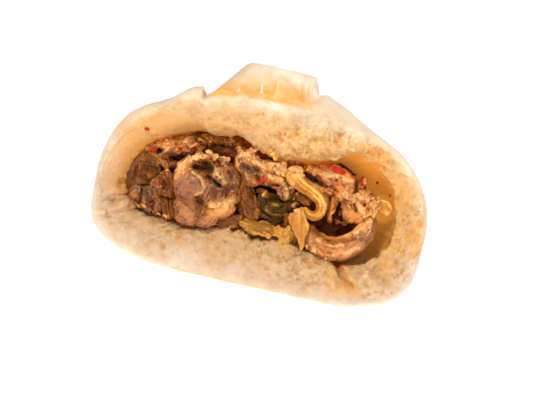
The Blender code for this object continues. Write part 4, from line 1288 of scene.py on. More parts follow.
        look="braised_pork", slot="pork", melt={}, rough=(31, (1, 0, 0.4), 0.25, 0.18, 0.1),
        balls=(
            (-29, 0, 31, 2.8, 3, 2.4, 12), (-31.8, 0.4, 30, 2.6), (-26, 0, 31.8, 2.8),
            (-22.8, 0.4, 32.4, 2.6), (-28.6, -0.6, 28, 3.8, 2.4, 1.5, -16),
            (-20.8, 0, 33.8, 2.8, 2.4, 2.2, 8), (-25, 0.6, 34, 3.6, 2.6, 1.8, 18)),
        scraps=(
            (((-32, -1.8, 31), (-27.4, -2.6, 33), (-23, -2.4, 34), (-19.6, -2.2, 35)), 50, (0.4, 1.3), 1,
             6),),
        carved=(
            (-1.8, 1.2, (-31.6, 30), (-30, 30.2)), (0.9, 0.7, (-30.6, 28.8), (-28.8, 30), (-27.8, 31.8)),
            (-1.6, 1, (-26.4, 28.6), (-24, 29.6)), (0.6, 1, (-33, 28.6), (-29.4, 27.8), (-26.6, 26.6))),
        tints=(
            ("pale", 8, 0.5, (0.7, 0.9, (-30.6, 28.8), (-28.8, 30), (-27.8, 31.8)),
             (0.5, 1, (-24.4, 33), (-21, 34)), (0.45, 0.8, (-29, 27.6), (-26.6, 26.4))),
            ("amber", 11, 0.5, (0.9, 3, (-29, 32), (-25, 32.4)), (0.8, 3, (-22, 33.6), (-19, 34.6))),
            ("dark", 14, 0.5, (0.9, 1, (-31.6, 30), (-30.2, 30.2)),
             (1, 1.4, (-26.6, 28.8), (-24, 30), (-22.6, 31))))),
    # The chunk under the lip at the right
    "pork_chunk_right": dict(
        look="glazed_pork", slot="pork", melt=dict(voxel=0.22, smooth=3),
        rough=(15, (1, 0, -0.5), 0.26, 0.26, 0.1),
        balls=(
            (16, -2, 33, 4.6), (11.6, -2, 32.8, 3.2), (19.4, -2.4, 33, 3.7), (21, -3, 30.8, 3),
            (14.6, -1.6, 30.4, 3.8), (12, -1, 29, 3.2), (17.6, -2.4, 35, 2.4), (23.6, 0.4, 32.6, 2.6),
            (17.2, -1.4, 27.4, 3), (13.4, -4.4, 34.4, 4, 1.2, 0.9, -14),
            (25.4, -1.2, 33.4, 0.9, 1.6, 2.4, -14)),
        scraps=(
            (((17, -5.6, 36), (20.4, -6, 34.6), (22.4, -6, 32.4), (21.4, -5.8, 29.6)), 40, (0.5, 1.4), 0.8,
             12), (((9.4, -5, 34.8), (12.6, -5.4, 34.6), (15, -5.6, 34)), 14, (0.4, 0.9), 0.4, 13),
            (((13, -4.6, 30.8), (15.4, -5, 31), (17.6, -5, 29.8)), 16, (0.4, 1), 0.7, 14)),
        carved=(
            (-2, 1.3, (9.4, 33), (12, 32.4), (15.4, 30.8)), (-1.2, 0.9, (17.6, 31.6), (19.4, 30.2)),
            (0.8, 0.8, (12, 34), (15.4, 33), (17.4, 32)), (-1.4, 0.9, (18.4, 28.6), (19.4, 26.6)),
            (-0.9, 0.7, (14.4, 30), (15.8, 28)), (-0.9, 0.7, (24.4, 34), (24.2, 31.4))),
        tints=(
            ("pale", 4, 0.5, (1, 2.6, (20, 34.6), (22, 33), (21.6, 30)),
             (0.9, 1.1, (9.6, 34.9), (13, 34.6), (16.4, 34)), (1, 1.8, (17.4, 35), (18.6, 34.2)),
             (0.5, 1.2, (13, 30.8), (16.4, 30.4)), (0.6, 0.7, (26, 35), (26.4, 32.4))),
            ("amber", 7, 0.5, (0.9, 4, (20.6, 33.4), (20.6, 29.4)), (0.7, 3, (13, 30.6), (17, 29))),
            ("dark", 10, 0.3, (1, 1.3, (9.4, 33), (12, 32.4), (15, 31.4)), (0.8, 1.6, (18.4, 28), (19, 26)),
             (0.6, 1.2, (24.2, 33.6), (24.6, 31.4)), (0.7, 2, (12, 27.6), (15, 26.4))))),
    # The crumbled chunk below it
    "pork_crumbled_right": dict(
        look="glazed_pork", slot="pork", melt=dict(voxel=0.2, smooth=2),
        rough=(11, (1, 0, 0.3), 0.2, 0.1, 0.1),
        balls=(
            (27, -5.4, 28.2, 3.5), (24.2, -5.2, 28, 2.8), (28.4, -5.4, 29.4, 2.4),
            (24.4, -5, 25.4, 2.4, 2.6, 2.8, 0), (28.6, -4.4, 26.8, 2.6), (27, -5, 25.6, 2.6)),
        scraps=(
            (((23, -7.6, 29.6), (26, -8.6, 31.2), (28.6, -8, 30.6), (30.2, -7.4, 28.4), (29, -8.2, 26.2),
              (26, -8.8, 27), (24, -8, 28.6)), 80, (0.35, 1.1), 0.9, 21),),
        carved=(
            (-1.8, 0.8, (24.6, 28.2), (25.6, 26.8)), (-1.6, 0.7, (26.6, 29.6), (27.4, 28.8)),
            (-1.2, 0.7, (28.4, 28), (28.8, 26.8)), (0.6, 0.6, (25.6, 30.6), (28.8, 29.8), (30, 27.8))),
        tints=(
            ("pale", 5, 0.5, (1, 1.8, (24.4, 29.6), (26.4, 30.8)),
             (1, 1.8, (28, 30.4), (30, 28.6), (30.4, 26.4)), (1, 2.4, (26, 28.4), (28.2, 26.6)),
             (0.9, 1, (24.6, 27.6), (25.4, 27))),
            ("amber", 8, 0.5, (1, 4.5, (26.6, 29), (27.4, 27.4)), (0.9, 1.8, (24.6, 26), (25.4, 24))),
            ("dark", 11, 0.3, (0.8, 0.6, (24.6, 28.2), (25.6, 26.8)),
             (0.7, 0.5, (26.8, 29.6), (27.4, 28.8))))),
}
CABBAGE = {
    # The pale hooked stem
    "cabbage_hook": dict(
        look="cabbage_stem", slot="cabbage_pale", mesh=(80, 260, 0.05), ribs=(4, 5, 0.08, 0.14),
        spine=(
            (5.2, -8.4, 33.4, 1.6, 1), (7, -9, 32, 2.3, 1.2), (9.8, -9.4, 30, 1.7, 1.2),
            (13, -9.5, 28.8, 1.5, 1.2), (15.4, -9.3, 27.3, 1.45, 1.2), (16.2, -9, 25.4, 1.35, 1.3),
            (15.8, -8.7, 23.6, 1.3, 1.2), (14.2, -8.4, 22.8, 1.2, 1), (12.4, -8.1, 23.5, 0.9, 0.8),
            (11.4, -7.8, 24.4, 0.5, 0.5)),
        carved=(
            (-0.8, 0.7, (8.4, 30), (11.4, 28.6), (14.2, 27), (15.2, 25.2), (14.8, 23.8)),
            (0.6, 0.7, (8.6, 32), (12, 30.2), (15, 28.8), (16.8, 26.6), (16.9, 24.4)),
            (0.4, 0.5, (11.8, 24.2), (13.2, 23), (15, 22.6))),
        tints=(
            ("pale", 2, 0.3, (1, 0.9, (7.4, 33), (9, 32), (12, 30.4), (15, 29), (16.9, 26.8), (17, 24.6)),
             (0.9, 0.6, (13.2, 28.4), (15, 27.4), (15.8, 26)), (0.7, 1.6, (6, 33), (7.4, 32.4)),
             (0.6, 0.6, (11.8, 24.2), (13.4, 23))),
            ("dark", 5, 0.25, (0.9, 0.8, (8, 29.6), (11.2, 28.4), (13.8, 26.8), (14.8, 25), (14.4, 24)),
             (0.4, 0.8, (15.6, 22.2), (14, 22))))),
    # The pale wedge below the hook, in front of the rest
    "cabbage_wedge": dict(
        look="cabbage_bit", slot="cabbage_pale", flat=(-11.2, 0.9, 0.22, 3),
        veins=(9, (0.15, 0, -1), 1.1, 0.12),
        outline=(
            (10.2, 24.5), (11.3, 24.6), (12, 23.1), (12.8, 22.2), (13, 21.4), (14, 20.6), (14.2, 19.4),
            (13.9, 18), (13.7, 16.4), (13.9, 14.6), (13.4, 13.1), (12.9, 13.5), (12.2, 15.2), (10.9, 16.8),
            (10, 18.2), (8.8, 19.4), (8.1, 20.8), (8.3, 22.2), (9.2, 23.1)),
        bends=(
            (0.9, 2.6, (10.6, 24), (12, 19), (13.2, 14)), (-0.7, 1.6, (8.4, 21))),
        carved=(
            (0.3, 0.5, (12.4, 22.4), (13.6, 20), (13.4, 16)), (-0.25, 0.6, (10, 22), (10.6, 19.4)),
            (-0.2, 0.4, (12.4, 20.6), (12.4, 17))),
        tints=(
            ("pale", 3, 0.4, (1, 0.7, (12.2, 23), (13.2, 21.2), (14, 19.8), (13.9, 17.6)),
             (0.6, 2, (11.2, 23), (12, 19)), (0.5, 0.7, (13.6, 16), (13.3, 13.6))),
            ("dark", 6, 0.5, (0.4, 1.3, (8.2, 20.4), (9.4, 22), (10, 19)), (0.4, 3.4, (11, 22), (13, 16)),
             (0.35, 0.5, (12, 16), (13, 13.6))))),
    # The pale flap at the right wall
    "cabbage_flap_right": dict(
        look="cabbage_stem", slot="cabbage_pale", flat=(-4.4, 0.9, 0.2, 7),
        veins=(14, (1, 0, -0.4), 1.3, 0.2),
        outline=(
            (28.8, 31.2), (30.8, 31), (33.4, 30.9), (34.8, 29.4), (34.7, 27.4), (33, 26.9), (31.4, 28),
            (29.6, 29.2)),
        bends=(
            (1, 1, (29, 31.4), (33.4, 31), (35, 28.6)),),
        tints=(
            ("pale", 4, 0.5, (1, 0.7, (29.4, 31.2), (33.4, 30.8), (34.8, 29.4)),
             (0.6, 0.8, (34.4, 28.6), (34, 27.2))),
            ("dark", 7, 0.5, (0.6, 0.9, (30.4, 29.4), (32.6, 28.6))))),
    # The brown leaf beside the large chunk
    "cabbage_leaf_brown": dict(
        look="cabbage_leaf", slot="cabbage_dark", mesh=(90, 180, 0.1), ribs=(19, 7, 0.2, 0.3),
        spine=(
            (-5.8, -4.2, 28.4, 1.2, 1), (-4.8, -5, 24.8, 2.3, 1.2), (-3.2, -5.6, 21, 2.9, 1.2),
            (-0.6, -5.8, 17.8, 2.4, 1)),
        carved=(
            (0.6, 0.5, (-6.2, 26), (-4.8, 22), (-3.4, 19)), (-0.6, 0.7, (-3.8, 25), (-1.6, 21)),
            (0.5, 0.4, (-2.2, 24.6), (-0.4, 20.6))),
        tints=(
            ("pale", 5, 0.5, (0.8, 0.6, (-6.2, 26), (-4.8, 22), (-3.4, 19)),
             (0.7, 0.5, (-2.4, 24.4), (-0.6, 20.8))),
            ("dark", 8, 0.5, (0.9, 0.9, (-3.6, 26), (-1.8, 21.6)), (0.6, 0.8, (-5.2, 23), (-3.8, 19.4))))),
    # The dark green leaf, in soft folds
    "cabbage_leaf_green": dict(
        look="cabbage_green", slot="cabbage_dark", flat=(-3.6, 2.6, 0.3, 4),
        veins=(44, (1, 0, 0.5), 2.8, 0.35, 0.1),
        outline=(
            (-1, 25.4), (2, 26), (5, 25.8), (8, 26.2), (9.6, 24.6), (9.2, 21.8), (7.4, 19.4), (4, 18.6),
            (0.6, 19.2), (-1.4, 21.6)),
        bends=(
            (1.2, 1.8, (3, 23), (4.6, 23.4)), (1.4, 1.3, (1.4, 21.4), (3.6, 20.4), (6, 20.6)),
            (-1.2, 1.2, (1.6, 24.4), (5, 24.8)), (1, 1.2, (7.6, 24.6), (8, 22.6))),
        tints=(
            ("pale", 6, 0.7, (0.8, 0.7, (2.2, 23.4), (4.4, 23.2)), (0.7, 0.5, (4.6, 21.8), (5.8, 22.4)),
             (0.7, 0.5, (1.4, 22), (2.2, 20.8)), (0.4, 0.7, (0.4, 24.6), (1.4, 25))),
            ("dark", 9, 0.5, (0.9, 1.6, (8, 22.6), (7.4, 20.2)), (0.8, 1, (2.4, 24.8), (5.6, 25.2)),
             (0.7, 1, (0.4, 20.4), (3, 19.4))))),
    # The dark strip left of the large chunk
    "cabbage_strip_left": dict(
        look="cabbage_leaf", slot="cabbage_dark", mesh=(80, 170, 0.08), ribs=(24, 7, 0.18, 0.22),
        spine=(
            (-28.2, -3.4, 25, 1, 0.8), (-26.8, -4.2, 23.4, 2, 1.1), (-25.6, -4.8, 19.6, 2, 1.2),
            (-24.2, -5.2, 15.6, 1.9, 1.2), (-23, -5.2, 12.8, 0.9, 0.8)),
        carved=(
            (0.7, 0.4, (-28.6, 24.4), (-26.8, 24.6), (-25.8, 22.6), (-26.2, 20)),
            (-0.9, 0.7, (-27.2, 22.6), (-26.8, 20.6)), (-0.9, 0.6, (-27, 18.4), (-24, 18.2)),
            (0.6, 0.4, (-24.8, 17.4), (-23.4, 13.4)), (0.4, 0.4, (-22.8, 17), (-22.6, 13.6))),
        tints=(
            ("pale", 7, 0.3, (0.7, 0.5, (-28.6, 24.6), (-26.8, 24.8), (-25.8, 22.6), (-26.2, 20)),
             (0.6, 0.5, (-25, 17.2), (-23.6, 13.4)), (0.5, 0.4, (-23, 16.6), (-22.6, 13.8))),
            ("dark", 10, 0.5, (1, 0.9, (-27.2, 22.8), (-26.8, 20.6)), (1, 0.8, (-27, 18.4), (-24, 18.2)),
             # Broad painted shade over the strip, which lies deep in the hollow
             (0.45, 8, (-26, 18))))),
    # The dark leaf at the far left
    "cabbage_leaf_left": dict(
        look="cabbage_leaf", slot="cabbage_dark", flat=(-1.6, 2.4, 0.4, 8),
        veins=(47, (0.1, 0, 1), 2.4, 0.5),
        outline=(
            (-37, 24), (-36, 27), (-33.4, 28.8), (-30.6, 28.4), (-28.8, 26), (-29.4, 22), (-31, 19.4),
            (-34, 18), (-36.8, 18), (-37.6, 21)),
        bends=(
            (1.6, 2.6, (-33.6, 23.6), (-31.4, 23)), (-1.2, 1, (-34.6, 19), (-31, 19.8))),
        carved=(
            (0.8, 0.5, (-34.6, 26.6), (-32, 27), (-29.4, 26)), (-0.6, 0.7, (-34, 25.2), (-30.4, 25))),
        tints=(
            ("pale", 8, 0.5, (0.35, 1.6, (-32.4, 24.6), (-31.8, 22)), (0.5, 0.6, (-34.6, 26.8), (-31, 27)),
             (0.5, 0.5, (-36.2, 24), (-36.6, 21))),
            ("dark", 11, 0.5, (1, 1.6, (-36, 18.6), (-31, 19.6)), (0.8, 1.6, (-35.4, 24.4), (-35.4, 21)),
             # Broad painted shade over the leaf, which lies deep in the hollow
             (0.8, 0.8, (-33.8, 25.4), (-30.4, 25.2)), (0.4, 7, (-33, 23))))),
    # The dark leaf under the upper lip
    "cabbage_leaf_upper": dict(
        look="cabbage_leaf", slot="cabbage_dark", melt=dict(voxel=0.24),
        rough=(37, (1, 0, 0.1), 0.3, 0.3, 0.12),
        balls=(
            (-20, 0.6, 35.8, 2.8, 3, 2, 20), (-16, 0.2, 36.8, 3.2, 3.2, 2, 0),
            (-11.4, 0, 37, 3.2, 3.2, 2, -8), (-7, 0, 36.6, 3, 3, 1.7, -12),
            (-3, 0.4, 35, 2.2, 2.6, 1.4, -20), (-15, 0.6, 34.4, 3, 2.2, 2, 0),
            (-10.6, 0.2, 34.2, 4, 2.6, 2.4, -10), (-5.6, 0.6, 33.4, 3, 2.2, 2.2, -16)),
        scraps=(
            (((-22, -1.8, 35.4), (-17, -2.6, 36.6), (-11, -2.8, 36.8), (-4, -2, 35.8)), 60, (0.5, 1.5), 0.9,
             31),),
        tints=(
            ("pale", 9, 0.9, (0.6, 0.8, (-20, 35.4), (-17, 36.8)), (0.35, 0.6, (-13, 37.4), (-9, 37.4))),
            ("dark", 12, 0.5, (0.9, 0.9, (-21.4, 37), (-21.2, 35)),
             (0.8, 0.7, (-15, 35.6), (-9, 35.6), (-4, 34.6)), (0.4, 2.4, (-14, 34), (-4, 33))))),
}
LIP_LEAF = {
    # A scrap of olive leaf against the lower lip
    "cabbage_lip_leaf": dict(
        look="cabbage_olive", slot="cabbage_pale", flat=(-7.6, 0.5, 0.35, 12),
        veins=(71, (1, 0, 0.1), 1.1, 0.4),
        outline=(
            (-4.4, 17.2), (-2.6, 17.9), (0, 17.9), (2.4, 18.3), (4.8, 17.5), (7.4, 16.6), (8, 15.4),
            (5.6, 15.2), (3.4, 14.4), (1.4, 14.6), (-0.4, 14), (-2.4, 14.9), (-4.2, 15.8)),
        bends=(
            (1.3, 1.6, (-4, 15.2), (0, 14.6), (6, 15)), (-1.2, 1.2, (-3, 17.8), (3, 18), (7, 17))),
        tints=(
            ("pale", 3, 0.5, (0.8, 0.5, (-1, 18.4), (2.4, 18.6), (5, 17.4)),
             (0.6, 0.7, (3, 16.4), (5.6, 15.8))),
            ("dark", 5, 0.5, (0.6, 0.8, (-4, 15.4), (-1, 14.8))))),
}
# Loose shreds of leaf, each a spine
SHREDS = (
    ((-33.4, -2.6, 29.2, 0.5, 0.4), (-31, -3.2, 28.6, 0.9, 0.5), (-28.4, -3.6, 27.2, 0.8, 0.5),
     (-26.4, -3.6, 25.2, 0.5, 0.4)),
    ((-27.6, -3, 30, 0.3, 0.3), (-28.6, -3.8, 28.8, 0.7, 0.4), (-30.4, -3.8, 28, 0.5, 0.4)),
    ((8.4, -7, 27.8, 0.6, 0.6), (10.6, -7.4, 26.6, 1.1, 0.7), (13, -7.6, 25.6, 0.8, 0.6)),
    ((18.6, -6.4, 29, 0.4, 0.5), (19.4, -7, 27.2, 0.9, 0.6), (18.7, -7.2, 24.6, 0.7, 0.6),
     (19.4, -7, 22, 0.6, 0.5)),
    ((-10.4, -7, 15.6, 0.7, 0.6), (-7, -7.6, 16.6, 1.4, 0.7), (-3.6, -7.4, 17.6, 0.8, 0.5)),
    ((-11.6, -6.6, 14.4, 0.5, 0.5), (-8, -7.2, 14.9, 0.9, 0.6), (-4.4, -7.2, 15.4, 0.5, 0.4)),
    ((-1.8, -5.6, 25.6, 0.4, 0.4), (-0.2, -6.4, 25.8, 0.9, 0.5), (1.6, -6.2, 25, 0.5, 0.4)),
    ((7, -5, 21.6, 0.4, 0.4), (8, -6, 19.8, 1, 0.6), (7.6, -6.4, 17.8, 0.5, 0.5)),
    ((-22.4, -5.4, 17.6, 0.3, 0.3), (-21.8, -6, 15.4, 0.6, 0.5), (-22.6, -6, 13.4, 0.4, 0.4)),
)
# The paler ends of the shreds, as strokes
SHRED_TINT = ((0.7, 0.5, (-33, 29.4), (-29, 27.8), (-26.6, 25.6)), (0.8, 1.4, (18.6, 28), (19.2, 23)))
# Where crumbs of pork lie: a path of x, z in mm, how many, spread, radii and seed
CRUMB_PATHS = (
    (((-34, 15.4), (-30, 14), (-26, 13.8), (-22.6, 12.8)), 7, 0.4, (0.3, 0.8), 1),
    (((-8, 14.8), (-2, 15.2), (4, 15.6), (8, 15.4)), 7, 0.6, (0.3, 0.7), 3),
    (((-33, 31), (-27, 33.6), (-21, 35.4)), 9, 0.8, (0.3, 0.9), 4),
    (((-19, 36), (-12, 36.6), (-5, 35)), 8, 0.8, (0.3, 1), 5),
    (((-8.6, 33), (-4, 34.4), (2, 33.4), (5, 32.6)), 20, 0.7, (0.25, 0.7), 6),
    (((9.6, 35), (14, 35), (20, 35), (22.6, 31)), 26, 0.7, (0.25, 0.8), 7),
    (((24.4, 30.4), (28, 31), (30.2, 28), (29, 26)), 24, 0.6, (0.25, 0.7), 8),
    (((14.8, 14.6), (17, 13.4), (22, 12.4)), 14, 0.4, (0.25, 0.7), 9),
    (((20, 26), (22, 24), (24, 23)), 14, 0.9, (0.4, 1), 10),
    (((-24, 24), (-23, 29), (-18, 32.6), (-11, 32)), 20, 0.6, (0.2, 0.6), 11),
    (((24, 34), (25, 31), (31, 27)), 12, 0.9, (0.3, 0.8), 12),
    (((7.6, 29), (9, 25), (10, 21)), 10, 0.7, (0.3, 0.8), 14),
    (((5.6, 33.6), (7.4, 35.4)), 16, 0.9, (0.5, 1), 3),
)
# Larger crumbs and pale bits of cabbage: x, z and radius in mm
LARGE_CRUMBS = (
    (5.4, 35.7, 1.2), (7, 34.9, 1.5), (8.6, 35.1, 1.2), (5, 34.3, 1.4), (6.6, 33.7, 1.3), (9.4, 34.6, 0.9),
    (7.6, 36, 0.8), (6.2, 35.4, 1.2), (8, 34, 1.1), (21.8, 30.4, 1.3), (20.4, 29.4, 1.2), (22.6, 31.6, 1.1),
)
CABBAGE_BITS = (
    (6.2, 17.2, 1.6), (7.6, 17.3, 2.3), (9.2, 17, 2.1), (8.4, 15.8, 2.3), (9.8, 14.8, 1.8), (6.8, 16, 1.8),
    (-0.6, 37.4, 0.9), (0, 36.7, 1), (0.9, 36.1, 0.9), (10.6, 34.9, 0.7), (13, 34.4, 0.6), (0.2, 25.6, 0.6),
    (-26.8, 26, 0.5), (23.4, 27.4, 0.5), (30.6, 31.2, 0.7), (-3.8, 13.9, 0.5), (4, 14.7, 0.6),
)
# Flakes of chilli: x, z and radius in mm, how many times as long, and the tilt in degrees
CHILLI_FLAKES = (
    (-1.3, 29, 1, 1.6, 60), (-0.6, 29.4, 0.6, 1.5, 20), (17.9, 36.3, 1.2, 2.1, -10),
    (-31.8, 30.3, 1, 1.5, 20), (-28.8, 21.8, 0.5, 1.4, 80), (-29, 16, 0.6, 1.6, 60),
    (25.3, 34.8, 0.55, 2.2, -70), (29.4, 35.5, 0.4, 1.6, 80), (33.5, 33, 0.45, 1.6, 80),
    (-34.4, 35.6, 0.7, 1.1, 0), (-17.6, 51.5, 0.5, 3.2, 50), (24.7, 11, 0.45, 1.5, 60),
    (14.7, 13.4, 0.5, 1.6, -20), (-21, 33.4, 0.7, 1.4, 30), (-24.6, 32.4, 0.5, 1.5, 0),
    (-10.6, 33.8, 0.4, 1.5, 40), (28.4, 32, 0.4, 1.4, 0), (-27, 18.8, 0.4, 1.4, 90),
)


def build_food(rows, looks):
    """Model the pieces of a table: each is shaped, carved, given its surface, tinted and settled."""
    for name, row in rows.items():
        course = ()
        if "balls" in row:
            piece = lump(row["balls"], row["scraps"], **row["melt"])
        elif "spine" in row:
            piece, *course = swept(row["spine"], *row["mesh"])
        else:
            piece = plate(row["outline"], *row["flat"], row["bends"])
        carve(piece, row.get("carved", ()))
        if "rough" in row:
            roughen(piece, *row["rough"])
        elif "ribs" in row:
            rib(piece, *course, *row["ribs"])
        elif "veins" in row:
            wrinkle(piece, *row["veins"])
        else:
            furrow(piece, *course)
        for colour, seed, ragged, *strokes in row["tints"]:
            tint(piece, colour, strokes, seed, ragged)
        solids = [name] if name in frame["nodes"] else []
        settle(piece, name, looks[row["look"]], row["slot"], *solids)


def build_packed_filling(looks):
    """The chopped filling behind the pieces, on a rougher copy of its solid, dark all over as painted shade
    deep in the hollow.
    """
    piece = frame["nodes"]["filling_core"].copy()
    piece.data = piece.data.copy()
    piece.parent = None
    bpy.context.scene.collection.objects.link(piece)
    on_whole_mesh(piece, bpy.ops.mesh.remove_doubles, threshold=0.01 * MM)
    apply_modifier(piece, "REMESH", mode="VOXEL", voxel_size=0.45 * MM)
    apply_modifier(piece, "SMOOTH", factor=0.5, iterations=4)
    spots = points_of(piece)
    front = 1 - smooth_step(9 * MM, 14 * MM, spots[:, 1])
    lumps = 0.5 - cells(spots, 3.2 * MM, 2.0) + 0.6 * field(spots, 1.4 * MM, 5.0, 3)
    raise_points(piece, np.minimum(lumps - 0.35, 0.25) * 1.5 * front)
    mark(piece, "height", 0.45 + 0.5 * lumps)
    mark(piece, "pale", 0.4 * smooth_step(0.1, 0.7, field(spots, 4 * MM, 8.0)))
    settle(piece, "packed_filling", looks["chopped_filling"], "packed_filling", "filling_core")


def shown_at(pieces, x, z):
    """The nearest place on these pieces that shows at x, z in mm, and its normal."""
    start = camera_frame()[0]
    way = (Vector((x * MM, TEAR_Y, z * MM)) - start).normalized()
    best = None
    for piece in pieces:
        hit, spot, normal, _ = piece.ray_cast(start, way)
        if hit and (best is None or (spot - start).length < (best[0] - start).length):
            best = spot, normal
    return best


def food_pieces():
    """Every piece of food made so far."""
    solids = set(frame["nodes"].values())
    return [thing for thing in bpy.context.scene.objects if thing.type == "MESH" and thing not in solids]


def strewn_along(path, count, spread, sizes, seed):
    """Spots of x, z and radius in mm, strewn about a path."""
    chosen = random.Random(seed)
    places = spline_at(path, np.array([chosen.random() for _ in range(count)]))
    return [(x + chosen.gauss(0, spread), z + chosen.gauss(0, spread),
             sizes[0] + (sizes[1] - sizes[0]) * chosen.random() ** 2) for x, z in places]


def strew(name, spots, seed, finish, slot, flat=(0.35, 0.7), sink=0.15, lumpy=0.5, facing=0.3):
    """Small bits, each its own shape, laid where the spots show, and joined as one piece.

    A spot is x, z and radius in mm; how long the bit is and its tilt in degrees may follow.
    """
    chosen = random.Random(seed)
    under = food_pieces()
    bits = []
    for x, z, radius, *shape in spots:
        found = shown_at(under, x, z)
        long, turn = shape or (chosen.uniform(1, 1.5), chosen.uniform(0, 180))
        size = [radius * long, radius * chosen.uniform(0.7, 1), radius * chosen.uniform(*flat)]
        if found is None:
            continue
        bpy.ops.mesh.primitive_ico_sphere_add(subdivisions=4 if radius > 1 else 2, radius=1)
        bit = bpy.context.object
        spot, out = found
        out = (out + Vector((0, -facing, 0))).normalized()
        across = Vector((math.cos(math.radians(turn)), 0, math.sin(math.radians(turn))))
        across = (across - out * across.dot(out)).normalized()
        bit.matrix_world = (
            Matrix.Translation(spot + out * radius * sink * MM)
            @ Matrix((across, out.cross(across), out)).transposed().to_4x4()
            @ Matrix.Diagonal((*(s * MM for s in size), 1))
        )
        bits.append(bit)
    piece = join(bits)
    bpy.ops.object.transform_apply(location=True, rotation=True, scale=True)
    shape = points_of(piece)
    bumps = field(shape, 0.9 * MM, seed * 1.7, 3)
    raise_points(piece, bumps * lumpy)
    mark(piece, "height", 0.6 + 0.5 * bumps)
    mark(piece, "pale", 0.4 + 0.6 * field(shape, 3 * MM, seed + 3.0))
    mark(piece, "amber", 0.4 + 0.6 * field(shape, 2 * MM, seed + 5.0))
    return settle(piece, name, finish, slot)


def build_bits(looks):
    """Crumbs of pork, pale bits of cabbage, shreds of leaf and flakes of chilli."""
    shreds = []
    for i, path in enumerate(SHREDS):
        piece, around, place = swept(path, 24, 60, 0.1)
        rib(piece, around, place, 60.0 + 3 * i, 4, 0.16, 0.4)
        shreds.append(piece)
    piece = join(shreds)
    tint(piece, "pale", SHRED_TINT, 3.0)
    settle(piece, "cabbage_shreds", looks["cabbage_leaf"], "cabbage_dark")
    build_food(LIP_LEAF, looks)
    crumbs = [*LARGE_CRUMBS, *(spot for path in CRUMB_PATHS for spot in strewn_along(*path))]
    strew("pork_crumbs", crumbs, 5, looks["glazed_pork"], "pork")
    strew("cabbage_bits", CABBAGE_BITS, 9, looks["cabbage_bit"], "cabbage_pale", (0.5, 0.9), 0.2, 0.6)
    strew("chilli_flakes", CHILLI_FLAKES, 13, looks["chilli_skin"], None, (0.25, 0.4), 0.5, 0.12, 1.5)


# ---------------------------------------------------------------- operators


class BunOperator:
    """What the bun's operators share."""

    bl_options = {"REGISTER", "UNDO"}

    @staticmethod
    def looks(context):
        return finishes(context.scene.bun_colours)


class BUN_OT_dough(BunOperator, bpy.types.Operator):
    """Model the torn dough with its pleated knot, crumb and oil stains"""

    bl_idname = "bun.dough"
    bl_label = "Dough"

    def execute(self, context):
        build_dough(context.scene.bun_sizes, context.scene.bun_colours)
        return {"FINISHED"}


class BUN_OT_packed_filling(BunOperator, bpy.types.Operator):
    """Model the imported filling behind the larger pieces"""

    bl_idname = "bun.packed_filling"
    bl_label = "Packed filling"

    def execute(self, context):
        build_packed_filling(self.looks(context))
        return {"FINISHED"}


class BUN_OT_pork(BunOperator, bpy.types.Operator):
    """Model the pieces of braised pork"""

    bl_idname = "bun.pork"
    bl_label = "Pork"

    def execute(self, context):
        build_food(PORK, self.looks(context))
        return {"FINISHED"}


class BUN_OT_cabbage(BunOperator, bpy.types.Operator):
    """Model the cabbage strips and leaves"""

    bl_idname = "bun.cabbage"
    bl_label = "Cabbage"

    def execute(self, context):
        build_food(CABBAGE, self.looks(context))
        return {"FINISHED"}


class BUN_OT_bits(BunOperator, bpy.types.Operator):
    """Lay the loose shreds, crumbs and chilli flakes on the filling and the dough"""

    bl_idname = "bun.bits"
    bl_label = "Bits"

    def execute(self, context):
        build_bits(self.looks(context))
        return {"FINISHED"}


class BUN_OT_stage(BunOperator, bpy.types.Operator):
    """Set the pale floor, the soft lights and the camera"""

    bl_idname = "bun.stage"
    bl_label = "Stage"

    def execute(self, context):
        build_stage(context.scene)
        return {"FINISHED"}


class BUN_PT_panel(bpy.types.Panel):
    """Lists the bun's pieces and their settings"""

    bl_idname = "BUN_PT_panel"
    bl_label = "Torn steamed bun"
    bl_space_type = "VIEW_3D"
    bl_region_type = "UI"
    bl_category = "Bun"

    def draw(self, context):
        for step in STEPS:
            self.layout.operator(step.bl_idname)
        for group in (context.scene.bun_sizes, context.scene.bun_colours):
            box = self.layout.box()
            for name in group.__annotations__:
                box.prop(group, name)


# ---------------------------------------------------------------- stage


def camera_frame():
    """Where the camera stands, and the ways to its right, to its top and ahead."""
    forward = Vector((0, math.cos(CAMERA_LIFT), -math.sin(CAMERA_LIFT)))
    right = Vector((1, 0, 0))
    up = right.cross(forward)
    side = right * math.cos(CAMERA_ROLL) + up * math.sin(CAMERA_ROLL)
    top = up * math.cos(CAMERA_ROLL) - right * math.sin(CAMERA_ROLL)
    place = Vector(CAMERA_AIM) - forward * VIEW_WIDTH * CAMERA_LENS / CAMERA_SENSOR
    return place, side, top, forward


def soft_light(name, place, size, power, colour):
    """A square lamp that looks at the bun."""
    lamp = bpy.data.lights.new(name, "AREA")
    lamp.shape, lamp.size, lamp.size_y = "RECTANGLE", size, size
    lamp.energy, lamp.color = power, colour
    made = bpy.data.objects.new(name, lamp)
    bpy.context.scene.collection.objects.link(made)
    made.location = place
    made.rotation_euler = (Vector(LAMP_AIM) - Vector(place)).to_track_quat("-Z", "Y").to_euler()


